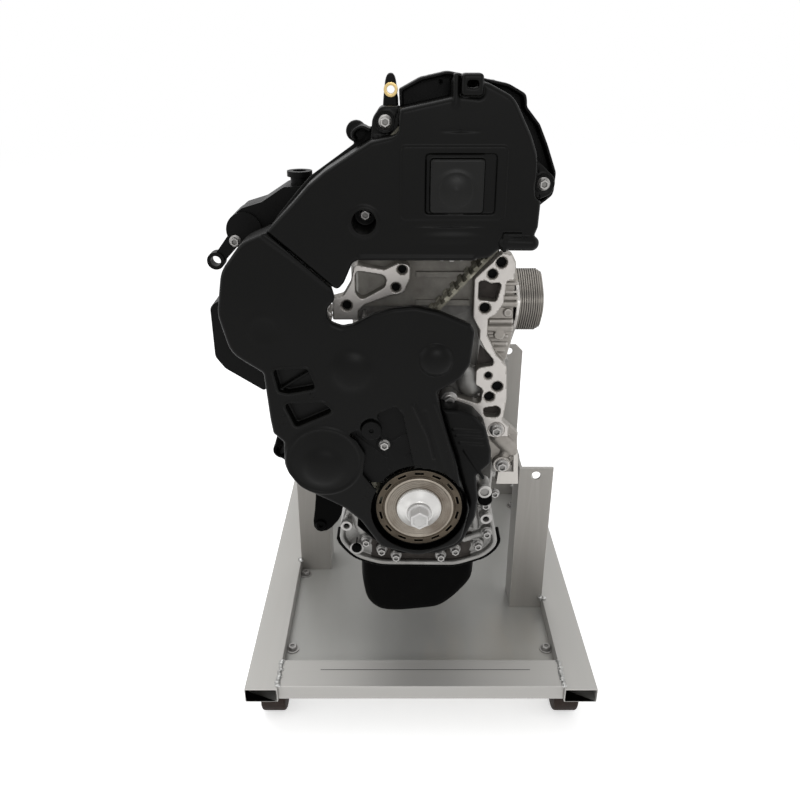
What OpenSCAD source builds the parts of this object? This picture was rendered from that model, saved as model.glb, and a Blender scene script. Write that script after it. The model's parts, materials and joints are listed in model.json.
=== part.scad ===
// Four-cylinder diesel engine, stripped of its ancillaries, on a wheeled aluminium stand.
// x is across the engine (0 on the stand's centre line), -y is the timing-belt end, z = 0 is the floor.
// Engine pieces are drawn in engine coordinates: x and z from the crankshaft axis, y = depth behind the
// face of the slotted crank disc.

/* [Stand] */
// Overall width of the stand across its rails
stand_w = 430; // [410:1:460]
// Overall length of the rails
stand_l = 540; // [500:1:600]
// Width of a rail tube
rail_w = 40; // [36:1:44]
// Height of the rail and crossbar tubes
rail_h = 20; // [18:1:25]
// Width of a crossbar tube
crossbar_w = 45; // [40:1:50]
// Wall of the rail and crossbar tubes
tube_wall = 2; // [1.5:0.5:3]
// Thickness of the sheet between the rails
sheet_t = 2; // [1.5:0.5:3]
// Leg width of the angle posts
post_leg = 45; // [40:1:50]
// Thickness of the angle posts
post_t = 4; // [3:0.5:5]
// Height of the two side posts above the floor
side_post_top = 300; // [298:1:306]
// Height of the right rear post above the floor
rear_post_top = 356; // [345:1:365]
// Overall height of a caster
caster_h = 70; // [64:1:80]
// Diameter of a caster wheel
wheel_d = 50; // [44:1:52]
// Width of a caster wheel
wheel_w = 32; // [26:1:36]

/* [Engine] */
// Height of the crankshaft axis above the floor
crank_height = 367; // [360:1:380]
// Cylinder bore
bore_d = 85; // [80:0.5:86]
// Distance between neighbouring cylinders
bore_pitch = 88; // [88:0.5:92]
// Crank throw, half of the piston stroke
crank_throw = 43; // [40:0.5:44]
// Height of the block's top face above the crankshaft axis
deck_h = 200; // [198:1:206]
// Height of a piston
piston_h = 38; // [34:1:40]
// Length of the wall at each end of the row of cylinders
end_wall = 18; // [16:1:22]
// Width of the cylinder block at the cylinders
block_w = 120; // [114:1:126]
// Width of the crankcase
case_w = 160; // [156:1:166]
// Depth of the bearing ladder below the crankshaft axis
ladder_h = 98; // [94:1:102]
// Depth of the oil sump below its flange
sump_h = 90; // [80:1:100]
// Wall of the pressed oil sump
sump_wall = 2; // [1.5:0.5:3]
// Thickness of the head gasket
gasket_t = 1.5; // [1:0.1:2]
// Height of the cylinder head
head_h = 86; // [80:1:88]

/* [Timing drive] */
// Teeth on the crankshaft sprocket; the camshaft sprocket has twice as many
crank_teeth = 22; // [20:1:22]
// Teeth on the fuel pump sprocket
pump_teeth = 28; // [24:1:28]
// Pitch of the timing belt's teeth
belt_pitch = 9.525; // [9.3:0.005:9.6]
// Width of the timing belt
belt_w = 25.4; // [22:0.1:26]
// Diameter of the tensioner roller
tensioner_d = 56; // [50:1:56]
// Diameter of the water pump pulley
water_pulley_d = 60; // [54:1:62]
// Wall of the timing covers
cover_wall = 2.5; // [2:0.1:3]
// Outer diameter of the slotted crank disc
disc_d = 92.6; // [90:0.1:96]
// Number of slots in the crank disc
disc_slots = 14; // [10:1:18]

/* [Oil cooler] */
// Number of plates in the oil cooler
cooler_plates = 12; // [8:1:14]
// Width of the oil cooler across its plates
cooler_w = 27; // [22:1:30]
// Side length of the oil cooler's square plates
cooler_size = 56; // [50:1:60]

/* [Hidden] */
$fn = 64;

// Play of a bolt in its hole, and of a shaft in its bearing, both on the radius
bolt_play = 0.1;
fit = 0.05;
// Gap between two moulded parts that stand side by side
seam = 0.3;
eps = 1;

// Stand: places along y and z
bolt_reach = 25;
disc_overhang = 27;
overall_l = stand_l + disc_overhang + bolt_reach;
stand_rear = overall_l / 2;
stand_front = stand_rear - stand_l;
disc_y = stand_front - disc_overhang;
rail_z = caster_h;
sheet_z = rail_z + sheet_t;
inner_x = stand_w / 2 - rail_w;
crossbar_set = 5;
engine_x = -6;
caster_x = inner_x + rail_w / 2 - 5;
caster_inset = 50;
caster_y = [stand_front + caster_inset, stand_rear - caster_inset];
caster_trail = 14;
wheel_z = wheel_d / 2;
side_post_d = [200, 287];
post_hole_r = 6;
post_hole_drop = 12;
sheet_screw_x = inner_x - 7;
sheet_screw_y = [-155, 4, 195];
sheet_screw_r = 2.5;
plug_r = 7;
plug_at = [-15, -50];
arm_d = 35;
arm_z = [-84, -52];
arm_t = 8;

// Engine: depths behind the face of the crank disc
block_front = 60;
block_back = block_front + 3 * bore_pitch + bore_d + 2 * end_wall;
head_front = 50;
housing_front = 36;
cover_back = 33;
cover_front = -5;
belt_front = 6.5;
rear_face = block_back + 60;
piston_r = bore_d / 2 - fit;
pin_r = 24;
pin_w = 26;
web_t = 18;
bay_play = 1;
bay_half = pin_w / 2 + web_t + bay_play;
sweep_r = crank_throw + pin_r + 6;
main_r = 30;
flange_r = 40;
flange_d = 30;
flange_pcd = 60;
nose_r = 15;
crank_bolt_r = 6;
bush_r = 6;
bush_rise = 77;
cooler_x = 95;
cooler_at = [93, 195];
cooler_tilt = 35;
cooler_flange_t = 3;
seal_r = 20;
head_z = deck_h + gasket_t;
head_top = head_z + head_h;
head_x = [-60, 75];
cam_rise = 35.5;
cam_z = head_top + cam_rise;
cam_x = [-22, 27];
cam_r = 12;
cam_journal_r = 14;
cam_tunnel_r = 22;
cam_back = block_back - 45;
cam_cover_top = cam_z + 27;
bush_at = [-27.5, cam_z + bush_rise];
disc_r = disc_d / 2;

// Belt drive: each wheel as [x, z, radius of the belt's pitch line, 1 inside the belt or -1 outside]
belt_back = 1.8;
belt_web = 0.4;
tooth_h = 2.6;
crank_pitch_r = crank_teeth * belt_pitch / (2 * PI);
pump_pitch_r = pump_teeth * belt_pitch / (2 * PI);
pump_at = [-125, 207];
water_at = [-95, 58];
tensioner_at = [14, 166];
back_gap = belt_back + 0.3;
tensioner_seat = belt_front + 5;
wheels = [
  [0, 0, crank_pitch_r, 1],
  [tensioner_at[0], tensioner_at[1], tensioner_d / 2 + back_gap, -1],
  [cam_x[1], cam_z, 2 * crank_pitch_r, 1],
  [pump_at[0], pump_at[1], pump_pitch_r, 1],
  [water_at[0], water_at[1], water_pulley_d / 2 + back_gap, -1]];

// Bolts: [x, z] of each, by the part that they hold
bolt_r = 3;
housing_bolts = [
  [-78, -44], [-57, -66], [-40, -78], [-24, -86], [26, -86], [42, -78], [67, -71], [76, -55], [74, -35],
  [73, -18]];
upper_bolts = over_cam([[-32, 53], [105, 2], [-51, -28]]);
bracket_bolts = [[80, 72], [88, 30]];
bracket_holes = [
  [76, 248.5, 5], [68, 237.3, 4.5], [62.2, 203.6, 5], [68.8, 132.8, 3.5], [78.6, 120.8, 5.2],
  [71, 109.5, 5]];
head_bracket_holes = [[-17.5, 241, 4], [-23.5, 223.5, 4], [-71, 205.5, 4.4]];

// Outlines seen from the front, as [x, z, corner radius]; a cover's upper part is set out from the camshaft axis
function over_cam(points) = [for (p = points) len(p) == 3 ? [p[0], p[1] + cam_z, p[2]] : [p[0], p[1] + cam_z]];
upper_outline = concat(
  [
    [-137, 286, 3], [-112, 311, 6]],
  over_cam([
    [-99, 2, 10], [-84, 14, 4], [-54, 33, 6], [-44, 39, 6], [-26, 43, 6], [-20, 64, 4], [4, 69, 8],
    [23, 73, 1], [23, 88, 3], [52, 84, 20], [74, 73, 22], [90, 43, 20], [98, 22, 10], [102, -5, 8],
    [101, -33, 10], [96, -47, 4], [68, -53, 2], [60, -60, 8], [46, -62, 6], [-54, -61, 4]]),
  [
    [-62, 258, 4], [-70, 240, 3], [-76, 233, 4], [-82, 237, 2]]);
inner_outline = concat(
  [
    [-134, 290, 3], [-114, 313, 4]],
  over_cam([
    [-100, 5, 10], [-58, 34, 4], [-64, 43, 9], [-52, 51, 8], [-43, 44, 3], [-42, 55, 6], [-34, 65, 3],
    [-22, 77, 2], [-3, 87, 12], [20, 92, 14], [52, 86, 15], [72, 82, 14], [87, 74, 6], [88, 64, 3],
    [100, 50, 10], [108, 33, 10], [117, 10, 8], [116, -9, 8], [104, -19, 4], [103, -41, 6],
    [96, -49, 4], [68, -51, 2], [46, -57, 4], [-54, -57, 4]]),
  [
    [-62, 262, 4], [-74, 246, 4], [-86, 246, 3]]);
lower_outline = [
  [-137, 285.7, 1], [-160, 276, 26], [-180, 250, 30], [-187, 210, 30], [-178, 172, 26], [-149, 152, 5],
  [-146, 104, 8], [-144, 88, 4], [-134, 78, 4], [-135, 50, 24], [-118, 26, 20], [-77, 2, 8], [-60, -14, 10],
  [-40, -46, 14], [0, -58, 30], [44, -42, 20], [52, 0, 12], [41, 36, 8], [37, 54, 10], [28, 82, 10],
  [19, 114, 6], [16, 132, 4], [38, 146, 14], [47, 161, 10], [50, 193, 6], [46, 200, 4], [16, 213, 20],
  [-6, 218, 20], [-26, 216, 14], [-45, 210, 10], [-62, 200.5, 3], [-73, 198, 9], [-86, 203, 9], [-87, 216, 9],
  [-79, 224, 4], [-82, 236, 1]];
recess_outline = [
  [-44, 24, 3], [-57, 42, 6], [-54, 65, 6], [-62, 80, 4], [-70, 87, 2], [-62, 93, 3], [-50, 84, 8],
  [-38, 90, 6], [-42, 110, 4], [-24, 118, 3], [-17, 110, 3], [-5, 50, 2], [-14, 44, 2]];
window_1 = [[-139, 156, 2], [-107, 157, 3], [-100, 137, 3], [-126, 132, 3], [-135, 134, 3]];
window_2 = [[-131, 121, 3], [-121, 96, 3], [-84, 113, 3], [-94, 122, 4]];
lower_inner_outline = [
  [14, 108, 4], [38, 106, 8], [54, 100, 12], [66, 86, 12], [73, 60, 10], [73, 46, 6], [59, 31, 4],
  [62, 2, 10], [60, -20, 14], [46, -54, 20], [20, -66, 15], [-21, -66, 15], [-48, -48, 15], [-74, -22, 5],
  [-60, 0, 5],
  [-60, 88, 5], [-20, 108, 5]];
housing_outline = [
  [-80, -28, 6], [-88, -66, 8], [-70, -89, 10], [-42, -99, 10], [44, -100, 10], [76, -88, 12], [90, -72, 8],
  [85, -50, 8],
  [77, -9, 8], [62, 18, 6], [50, 60, 8], [36, 84, 8], [-40, 104, 8], [-58, 60, 8], [-66, 0, 8]];
head_bracket_outline = [
  [-63, 246, 3], [-34, 241, 6], [-22, 247, 5], [-9, 246, 6], [-10, 232, 6], [-16, 218, 6], [-30, 215, 6],
  [-54, 206, 4], [-60, 200, 3], [-60, 191, 1], [-85, 191, 1], [-85, 213, 2], [-74, 216, 4], [-67, 228, 6]];
head_bracket_window = [[-62, 240, 4], [-32, 235, 6], [-34, 224, 6], [-57, 211, 6], [-62, 218, 6]];
accessory_face = [
  [77, 258, 3], [86, 256, 4], [90, 248, 4], [89, 232, 2], [82, 230, 2], [80, 208, 6], [73, 197, 4],
  [66, 193, 3], [66, 176, 6], [76, 155, 8], [87, 143, 6], [89, 108, 10], [86, 82, 6],
  [104, 66, 5], [104, 36, 5], [94, 22, 6], [80, 22, 6], [70, 64, 8], [60, 82, 6], [36, 90, 10], [20, 94, 8],
  [20, 108, 8], [36, 110, 6], [62, 101, 4], [64, 118, 5], [56, 123, 5], [56, 141, 6], [73, 144, 2],
  [73, 150, 3], [64, 161, 4], [58, 172, 5], [58, 181, 4], [51, 194, 3], [51, 233, 3]];
accessory_back = [
  [77, 258, 4], [86, 256, 4], [90, 248, 4], [95, 232, 4], [95, 172, 4], [90, 160, 4], [87, 143, 6],
  [73, 144, 2], [73, 150, 3], [64, 161, 4], [58, 172, 5], [58, 181, 4], [51, 194, 3], [51, 233, 3]];
accessory_windows = [
  [[55.5, 230, 2.5], [61, 231, 2], [67, 227.8, 3], [77.5, 229.5, 3], [73, 210, 3.5], [55.5, 212, 2.5]],
  [[65, 97, 3], [84, 100, 5], [82, 86, 5], [67, 87, 4]],
  [[78, 162, 1], [84, 162, 1], [83, 151, 2], [79, 152, 2]]];

// Outlines seen from the side, as [depth, z, corner radius]
cooler_flange = [
  [47, 206, 6], [62, 219, 12], [86, 229, 14], [118, 233, 8], [128, 222, 6], [128, 156, 6], [112, 149, 6],
  [92, 149, 4], [64, 175, 14], [53, 191, 8]];
bracket_side = [
  [49, 214, 3], [62, 216, 10], [86, 226, 14], [116, 230, 6], [125, 221, 6], [125, 158, 6], [111, 152, 6],
  [93, 152, 4], [66, 177, 10], [49, 186, 3]];
pump_bracket_outline = [
  [-61, 168, 4], [-61, 108, 4], [-81, 76, 4], [-81, 24, 6], [-112, 20, 12], [-146, 40, 8], [-150, 62, 8],
  [-128, 78, 10], [-130, 120, 12], [-176, 168, 16], [-180, 214, 8], [-166, 246, 16], [-140, 260, 12],
  [-106, 250, 12], [-97, 224, 8], [-97, 184, 8], [-80, 170, 6]];
sump_outline = [
  [-65, 0, 0], [-65, -40, 10], [-60, -74, 12], [-44, -89, 12], [-20, -90, 12], [28, -84, 14], [46, -68, 12],
  [66, -42, 12], [68, 0, 0]];
rear_outline = [
  [-92, 30, 8], [-92, 150, 25], [-50, 190, 25], [60, 190, 25], [105, 150, 25], [120, 60, 20], [128, 0, 8],
  [150, -14, 6], [150, -64, 8], [110, -84, 10], [80, -104, 14], [-80, -104, 14], [-104, -84, 8],
  [-140, -72, 6], [-140, -46, 6], [-104, -16, 8], [-92, 0, 8]];
side_outline = [
  [-162, 106, 3], [-200, 131, 14], [-209, 144, 10], [-209, 198, 8], [-198, 204, 4], [-188, 196, 4],
  [-184, 232, 6], [-169, 232, 4], [-168, 176, 4], [-150, 172, 6], [-150, 114, 6]];
outlet_outline = [
  [-176, 256, 10], [-150, 244, 5], [-132, 262, 8], [-104, 300, 6], [-106, 314, 4], [-128, 314, 6],
  [-150, 300, 8], [-170, 294, 8], [-186, 280, 8]];
outlet_neck = [-115, 313];
outlet_round = [-168, 274];
outlet_ear = [-199, 243];

// A polygon's points with each corner rounded by its own radius, held back where its sides are short
function unit(a, b) = (b - a) / norm(b - a);
function corner(a, p, b, r, steps) =
  let (
    u = unit(p, a),
    v = unit(p, b),
    half = acos(max(-1, min(1, u * v))) / 2,
    reach = min(r / tan(half), 0.49 * min(norm(a - p), norm(b - p))),
    r_fit = reach * tan(half),
    centre = p + (u + v) / norm(u + v) * (r_fit / sin(half)),
    from = p + u * reach - centre,
    to = p + v * reach - centre,
    start = atan2(from[1], from[0]),
    turn = atan2(to[1], to[0]) - start,
    sweep = turn > 180 ? turn - 360 : turn < -180 ? turn + 360 : turn)
  [for (i = [0 : steps]) centre + r_fit * [cos(start + sweep * i / steps), sin(start + sweep * i / steps)]];
function xz(p) = [p[0], p[1]];
function rounded(points, steps = 4) = [
  for (i = [0 : len(points) - 1])
    let (p = points[i], a = points[(i + len(points) - 1) % len(points)], b = points[(i + 1) % len(points)])
      each p[2] > 0 && norm(unit(xz(p), xz(a)) + unit(xz(p), xz(b))) > 0.001
        ? corner(xz(a), xz(p), xz(b), p[2], steps)
        : [xz(p)]];

function cyl_d(i) = block_front + end_wall + bore_d / 2 + i * bore_pitch;
function crank_side(i) = (i == 0 || i == 3) ? 1 : -1;

// The belt's line around its wheels, moved outwards by out
function signed_r(w) = w[2] * w[3];
function leave_angle(a, b) =
  let (gap = [b[0] - a[0], b[1] - a[1]])
    atan2(gap[1], gap[0]) + asin((signed_r(a) - signed_r(b)) / norm(gap));
function near_turn(turn, way) = way > 0 ? (turn < 0 ? turn + 360 : turn) : (turn > 0 ? turn - 360 : turn);
function wrap(turn) = turn > 360 ? turn - 360 : turn < -360 ? turn + 360 : turn;
function belt_line(out, steps = 20) = [
  for (i = [0 : len(wheels) - 1])
    let (
      w = wheels[i],
      before = wheels[(i + len(wheels) - 1) % len(wheels)],
      after = wheels[(i + 1) % len(wheels)],
      enter = leave_angle(before, w),
      turn = near_turn(wrap(leave_angle(w, after) - enter), w[3]),
      r = signed_r(w) + out)
      for (k = [0 : steps])
        let (angle = enter + turn * k / steps)
          [w[0] + r * sin(angle), w[1] - r * cos(angle)]];
// Ends of the free run that follows wheel i, as [start, end, direction]
function free_run(i, out) =
  let (
    a = wheels[i],
    b = wheels[(i + 1) % len(wheels)],
    angle = leave_angle(a, b),
    side = [sin(angle), -cos(angle)])
    [[a[0], a[1]] + side * (signed_r(a) + out), [b[0], b[1]] + side * (signed_r(b) + out), angle];

// How far from a wheel's tangent point the belt's teeth are clear of the wheel's own
function tooth_clear(w) = sqrt(2 * w[2] * (tooth_h + 1)) + belt_pitch / 4;

// Places a module in engine coordinates
module at_engine() {
  translate([engine_x, disc_y, crank_height])
    children();
}

// A flat piece that lies across the engine between two depths
module slab(front, back) {
  translate([0, back, 0])
    rotate([90, 0, 0])
      linear_extrude(height = back - front)
        children();
}

module rounded_slab(front, back, outline) {
  slab(front, back)
    polygon(rounded(outline));
}

// A plate seen from the side, between two positions across the engine
module side_slab(x0, x1, outline) {
  translate([x0, 0, 0])
    rotate([90, 0, 90])
      linear_extrude(height = x1 - x0)
        polygon(rounded(outline));
}

// A cylinder along the engine's length
module bar(front, back, r, at = [0, 0]) {
  translate([at[0], back, at[1]])
    rotate([90, 0, 0])
      cylinder(h = back - front, r = r);
}

// A cylinder across the engine
module cross_bar(x0, x1, r, depth, z) {
  translate([x0, depth, z])
    rotate([0, 90, 0])
      cylinder(h = x1 - x0, r = r);
}

// An oval duct across the engine, longer along the engine than it is high
module cross_duct(x0, x1, size, depth, z) {
  half = [size[0] / 2, size[1] / 2];
  outline = [
    [-half[0], -half[1], 7], [half[0], -half[1], 7], [half[0], half[1], 7], [-half[0], half[1], 7]];
  translate([0, depth, z])
    side_slab(x0, x1, outline);
}

module hex(front, back, af, at = [0, 0]) {
  translate([at[0], back, at[1]])
    rotate([90, 0, 0])
      cylinder(h = back - front, r = af / sqrt(3), $fn = 6);
}

// A flanged bolt whose head seats at depth seat and whose shank goes back by reach
module flange_bolt(at, seat, reach, r = bolt_r, af = 10, flange = 7.5, head = 6) {
  union() {
    bar(seat - 2, seat, flange, at);
    hex(seat - head, seat - 2, af, at);
    bar(seat, seat + reach, r, at);
  }
}

module bolt_hole(at, front, back, r = bolt_r) {
  bar(front, back, r + bolt_play, at);
}

// ---- Stand ----

module rail(x) {
  translate([x, stand_front, rail_z])
    difference() {
      cube([rail_w, stand_l, rail_h]);
      translate([tube_wall, -eps, tube_wall])
        cube([rail_w - 2 * tube_wall, stand_l + 2 * eps, rail_h - 2 * tube_wall]);
    }
}

module crossbar(y) {
  translate([-inner_x, y, rail_z])
    difference() {
      cube([2 * inner_x, crossbar_w, rail_h]);
      translate([-eps, tube_wall, tube_wall])
        cube([2 * (inner_x + eps), crossbar_w - 2 * tube_wall, rail_h - 2 * tube_wall]);
    }
}

module left_rail() {
  color("silver")
    rail(-stand_w / 2);
}

module right_rail() {
  color("silver")
    rail(inner_x);
}

module front_crossbar() {
  color("silver")
    crossbar(stand_front + crossbar_set);
}

module rear_crossbar() {
  color("silver")
    crossbar(stand_rear - crossbar_set - crossbar_w);
}

module base_sheet() {
  sheet_y = stand_front + crossbar_set + crossbar_w;
  color("gainsboro")
    difference() {
      translate([-inner_x, sheet_y, rail_z])
        cube([2 * inner_x, stand_l - 2 * (crossbar_set + crossbar_w), sheet_t]);
      for (side = [-1, 1])
        for (y = sheet_screw_y)
          translate([side * sheet_screw_x, y, rail_z - eps])
            cylinder(h = sheet_t + 2 * eps, r = sheet_screw_r + bolt_play);
    }
}

// An angle post: its front flange faces the timing end and its other flange stands on the inner side
module post(side, y, top, chamfer = 0) {
  crossbar_y = stand_rear - crossbar_set - crossbar_w;
  centre_x = side * (inner_x - post_leg / 2);
  difference() {
    translate([centre_x, y, sheet_z])
      linear_extrude(height = top - sheet_z)
        translate([-side * post_leg / 2, 0])
          scale([side, 1])
            polygon([
              [0, 0], [post_leg, 0], [post_leg, post_t], [post_t, post_t], [post_t, post_leg],
              [0, post_leg]]);
    translate([centre_x, y + post_t + eps, top - post_hole_drop])
      rotate([90, 0, 0])
        cylinder(h = post_t + 2 * eps, r = post_hole_r);
    // The inner flange stands on the rear crossbar where it reaches over it
    if (y + post_leg > crossbar_y)
      translate([side * (inner_x - post_leg) - (post_t + eps), crossbar_y, sheet_z - eps])
        cube([2 * (post_t + eps), post_leg, rail_z + rail_h - sheet_z + eps]);
    if (chamfer > 0)
      translate([side * inner_x, y - eps, top])
        rotate([0, 45, 0])
          translate([-chamfer, 0, -chamfer])
            cube([2 * chamfer, post_t + 2 * eps, 2 * chamfer]);
  }
}

module left_side_post() {
  color("lightgray")
    post(-1, disc_y + side_post_d[1], side_post_top);
}

module right_side_post() {
  color("lightgray")
    post(1, disc_y + side_post_d[0], side_post_top);
}

module left_rear_post() {
  color("lightgray")
    post(-1, disc_y + rear_face, crank_height - 46, 5);
}

module right_rear_post() {
  color("lightgray")
    post(1, disc_y + rear_face, rear_post_top, 8);
}

// A cast arm from the bearing ladder to the inner flange of a side post
module side_arm(side, depth) {
  ladder_x = engine_x + side * case_w / 2;
  post_x = side * (inner_x - post_leg);
  reach = abs(post_x - ladder_x);
  translate([min(ladder_x, post_x), disc_y + depth + 5, crank_height + arm_z[0]])
    difference() {
      cube([reach, arm_d, arm_z[1] - arm_z[0]]);
      translate([arm_t, -eps, arm_t])
        cube([reach - 2 * arm_t, arm_d - arm_t + eps, arm_z[1] - arm_z[0]]);
    }
}

module left_side_arm() {
  color("silver")
    side_arm(-1, side_post_d[1]);
}

module right_side_arm() {
  color("silver")
    side_arm(1, side_post_d[0]);
}

// Casters: 1 front left, 2 front right, 3 rear left, 4 rear right
plate_t = 3;
plate_side = 50;
fork_t = 2.5;
fork_gap = 1;
axle_r = 4;
king_r = 5;
fork_top = caster_h - plate_t - 3;
crown_z0 = fork_top - seam - fork_t;
function caster_at(i) = [(i % 2 == 0 ? -1 : 1) * caster_x, caster_y[floor(i / 2)], 0];

module caster_plates() {
  color("dimgray")
    for (i = [0 : 3])
      translate(caster_at(i)) {
        translate([-plate_side / 2, -plate_side / 2, caster_h - plate_t])
          cube([plate_side, plate_side, plate_t]);
        translate([0, 0, fork_top])
          cylinder(h = caster_h - plate_t - fork_top, r = 16);
        translate([0, 0, crown_z0 - seam])
          cylinder(h = fork_top - crown_z0 + seam, r = king_r);
        translate([0, 0, crown_z0 - seam - 2])
          cylinder(h = 2, r = king_r + 4);
      }
}

// A pressed fork: a crown that turns on its king pin, two legs and the wheel's axle
module caster_fork(i) {
  leg_x = wheel_w / 2 + fork_gap;
  color("gray")
    translate(caster_at(i))
      difference() {
        union() {
          translate([-leg_x - fork_t, -14, crown_z0])
            cube([2 * (leg_x + fork_t), caster_trail + 24, fork_t]);
          for (side = [0, 1])
            translate([side == 0 ? -leg_x - fork_t : leg_x, 0, 0])
              rotate([90, 0, 90])
                linear_extrude(height = fork_t)
                  polygon(rounded([
                    [-14, crown_z0 + fork_t / 2, 0], [caster_trail + 10, crown_z0 + fork_t / 2, 0],
                    [caster_trail + 9, wheel_z - 8, 8], [caster_trail - 9, wheel_z - 8, 8]]));
          translate([-leg_x - fork_t, caster_trail, wheel_z])
            rotate([0, 90, 0])
              cylinder(h = 2 * (leg_x + fork_t), r = axle_r);
        }
        translate([0, 0, crown_z0 - eps])
          cylinder(h = fork_t + 2 * eps, r = king_r + fit);
      }
}

module caster_wheel(i) {
  color("#33251f")
    translate(caster_at(i))
      translate([-wheel_w / 2, caster_trail, wheel_z])
        rotate([0, 90, 0])
          difference() {
            rotate_extrude()
              polygon(rounded([
                [0, 0, 0], [wheel_d / 2, 0, 4], [wheel_d / 2, wheel_w, 4], [0, wheel_w, 0]]));
            translate([0, 0, -eps])
              cylinder(h = wheel_w + 2 * eps, r = axle_r + fit);
          }
}

module caster_fork_1() { caster_fork(0); }
module caster_fork_2() { caster_fork(1); }
module caster_fork_3() { caster_fork(2); }
module caster_fork_4() { caster_fork(3); }
module caster_wheel_1() { caster_wheel(0); }
module caster_wheel_2() { caster_wheel(1); }
module caster_wheel_3() { caster_wheel(2); }
module caster_wheel_4() { caster_wheel(3); }

// ---- Bottom end ----

module crank_bays() {
  for (i = [0 : 3])
    bar(cyl_d(i) - bay_half, cyl_d(i) + bay_half, sweep_r);
}

module cylinder_block() {
  case_x = case_w / 2;
  wall_x = block_w / 2;
  color("darkgray")
    at_engine()
      difference() {
        union() {
          rounded_slab(block_front, block_back, [
            [-case_x, 0, 0], [-case_x, 78, 14], [-wall_x, 104, 8], [-wall_x, deck_h, 0], [wall_x, deck_h, 0],
            [wall_x, 104, 8], [case_x, 78, 14], [case_x, 0, 0]]);
          bar(cover_back + 8, block_front + eps, 13, tensioner_at);
          // Deck rail along both sides
          for (side = [-1, 1])
            translate([side * wall_x - 4, block_front, deck_h - 12])
              cube([8, block_back - block_front, 12]);
        }
        for (i = [0 : 3])
          translate([0, cyl_d(i), 0])
            cylinder(h = deck_h + eps, r = bore_d / 2);
        crank_bays();
        bar(block_front - eps, block_back + eps, main_r + fit);
        // Core plug recesses
        for (i = [0 : 3])
          for (side = [-1, 1])
            cross_bar(side * wall_x - 3, side * wall_x + 3, 16, cyl_d(i), 148);
        bolt_hole(tensioner_at, cover_back, block_front + 5, 8);
        for (b = housing_bolts)
          if (b[1] > 0)
            bolt_hole(b, block_front - eps, block_front + 12);
        for (b = bracket_bolts)
          bolt_hole(b, block_front - eps, block_front + 12);
      }
}

module bearing_ladder() {
  case_x = case_w / 2;
  color("silver")
    at_engine()
      difference() {
        rounded_slab(block_front, block_back, [
          [-case_x, 0, 0], [case_x, 0, 0], [case_x, -ladder_h, 6], [-case_x, -ladder_h, 6]]);
        crank_bays();
        bar(block_front - eps, block_back + eps, main_r + fit);
        for (i = [0 : 3])
          translate([-case_x + 20, cyl_d(i) - bay_half, -ladder_h - eps])
            cube([case_w - 40, 2 * bay_half, ladder_h / 2]);
        for (b = housing_bolts)
          if (b[1] < 0)
            bolt_hole(b, block_front - eps, block_front + 12);
      }
}

module oil_sump() {
  flange_t = 3;
  case_x = case_w / 2;
  pan_front = block_front + 6;
  pan_back = block_back - 12;
  color("#202020")
    at_engine()
      translate([0, 0, -ladder_h])
        difference() {
          union() {
            translate([-case_x, block_front, -flange_t])
              cube([case_w, block_back - block_front, flange_t]);
            slab(pan_front, pan_back)
              intersection() {
                translate([0, -flange_t])
                  polygon(rounded(sump_outline));
                translate([-case_x, -sump_h - flange_t])
                  square([case_w, sump_h + flange_t]);
              }
          }
          slab(pan_front + sump_wall, pan_back - sump_wall)
            difference() {
              translate([0, -flange_t])
                offset(delta = -sump_wall)
                  polygon(rounded(concat(sump_outline, [[68, 20, 0], [-65, 20, 0]])));
              translate([-case_x, -2 * sump_h - flange_t + sump_wall])
                square([case_w, sump_h]);
            }
          bar(pan_back - sump_wall - eps, pan_back + eps, plug_r + bolt_play, plug_at);
        }
}

module drain_plug() {
  plug_seat = block_back - 12;
  color("dimgray")
    at_engine()
      translate([0, 0, -ladder_h]) {
        bar(plug_seat - sump_wall - 2, plug_seat, plug_r, plug_at);
        bar(plug_seat, plug_seat + 2, plug_r + 3, plug_at);
        hex(plug_seat + 2, plug_seat + 7, 17, plug_at);
      }
}

// Crank web seen from the front, its pin straight up
web_outline = [
  [-24, crank_throw + 26, 22], [24, crank_throw + 26, 22], [34, 4, 10], [56, -12, 8], [46, -42, 14],
  [22, -60, 14], [-22, -60, 14], [-46, -42, 14], [-56, -12, 8], [-34, 4, 10]];

module crankshaft() {
  color("gray")
    at_engine()
      difference() {
        union() {
          bar(belt_front - 3, housing_front + 2, nose_r);
          bar(housing_front + 2, block_front, seal_r);
          bar(block_front, cyl_d(0) - pin_w / 2, main_r);
          for (i = [0 : 3]) {
            for (end = [-1, 1])
              translate([0, cyl_d(i) + end * (pin_w + web_t) / 2, 0])
                slab(-web_t / 2, web_t / 2)
                  scale([1, crank_side(i)])
                    polygon(rounded(web_outline));
            translate([0, cyl_d(i), 0])
              bar(-pin_w / 2 - eps, pin_w / 2 + eps, pin_r, [0, crank_side(i) * crank_throw]);
          }
          for (i = [0 : 2])
            bar(cyl_d(i) + pin_w / 2 + eps, cyl_d(i + 1) - pin_w / 2 - eps, main_r);
          bar(cyl_d(3) + pin_w / 2 + eps, block_back, main_r);
          bar(block_back, block_back + flange_d, flange_r);
        }
        bar(belt_front - 4, 50, crank_bolt_r + bolt_play);
        bar(block_back + flange_d - 12, block_back + flange_d + eps, 15);
        for (k = [0 : 7])
          rotate([0, k * 45, 0])
            bar(block_back + flange_d - 20, block_back + flange_d + eps, 4.25, [flange_pcd / 2, 0]);
      }
}

// ---- Pistons ----

// Crown height above the crankshaft axis; the rest position has the outer pistons up and the inner two down
function crown_z(i) = deck_h - 1 - (crank_side(i) > 0 ? 0 : 2 * crank_throw);

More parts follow.
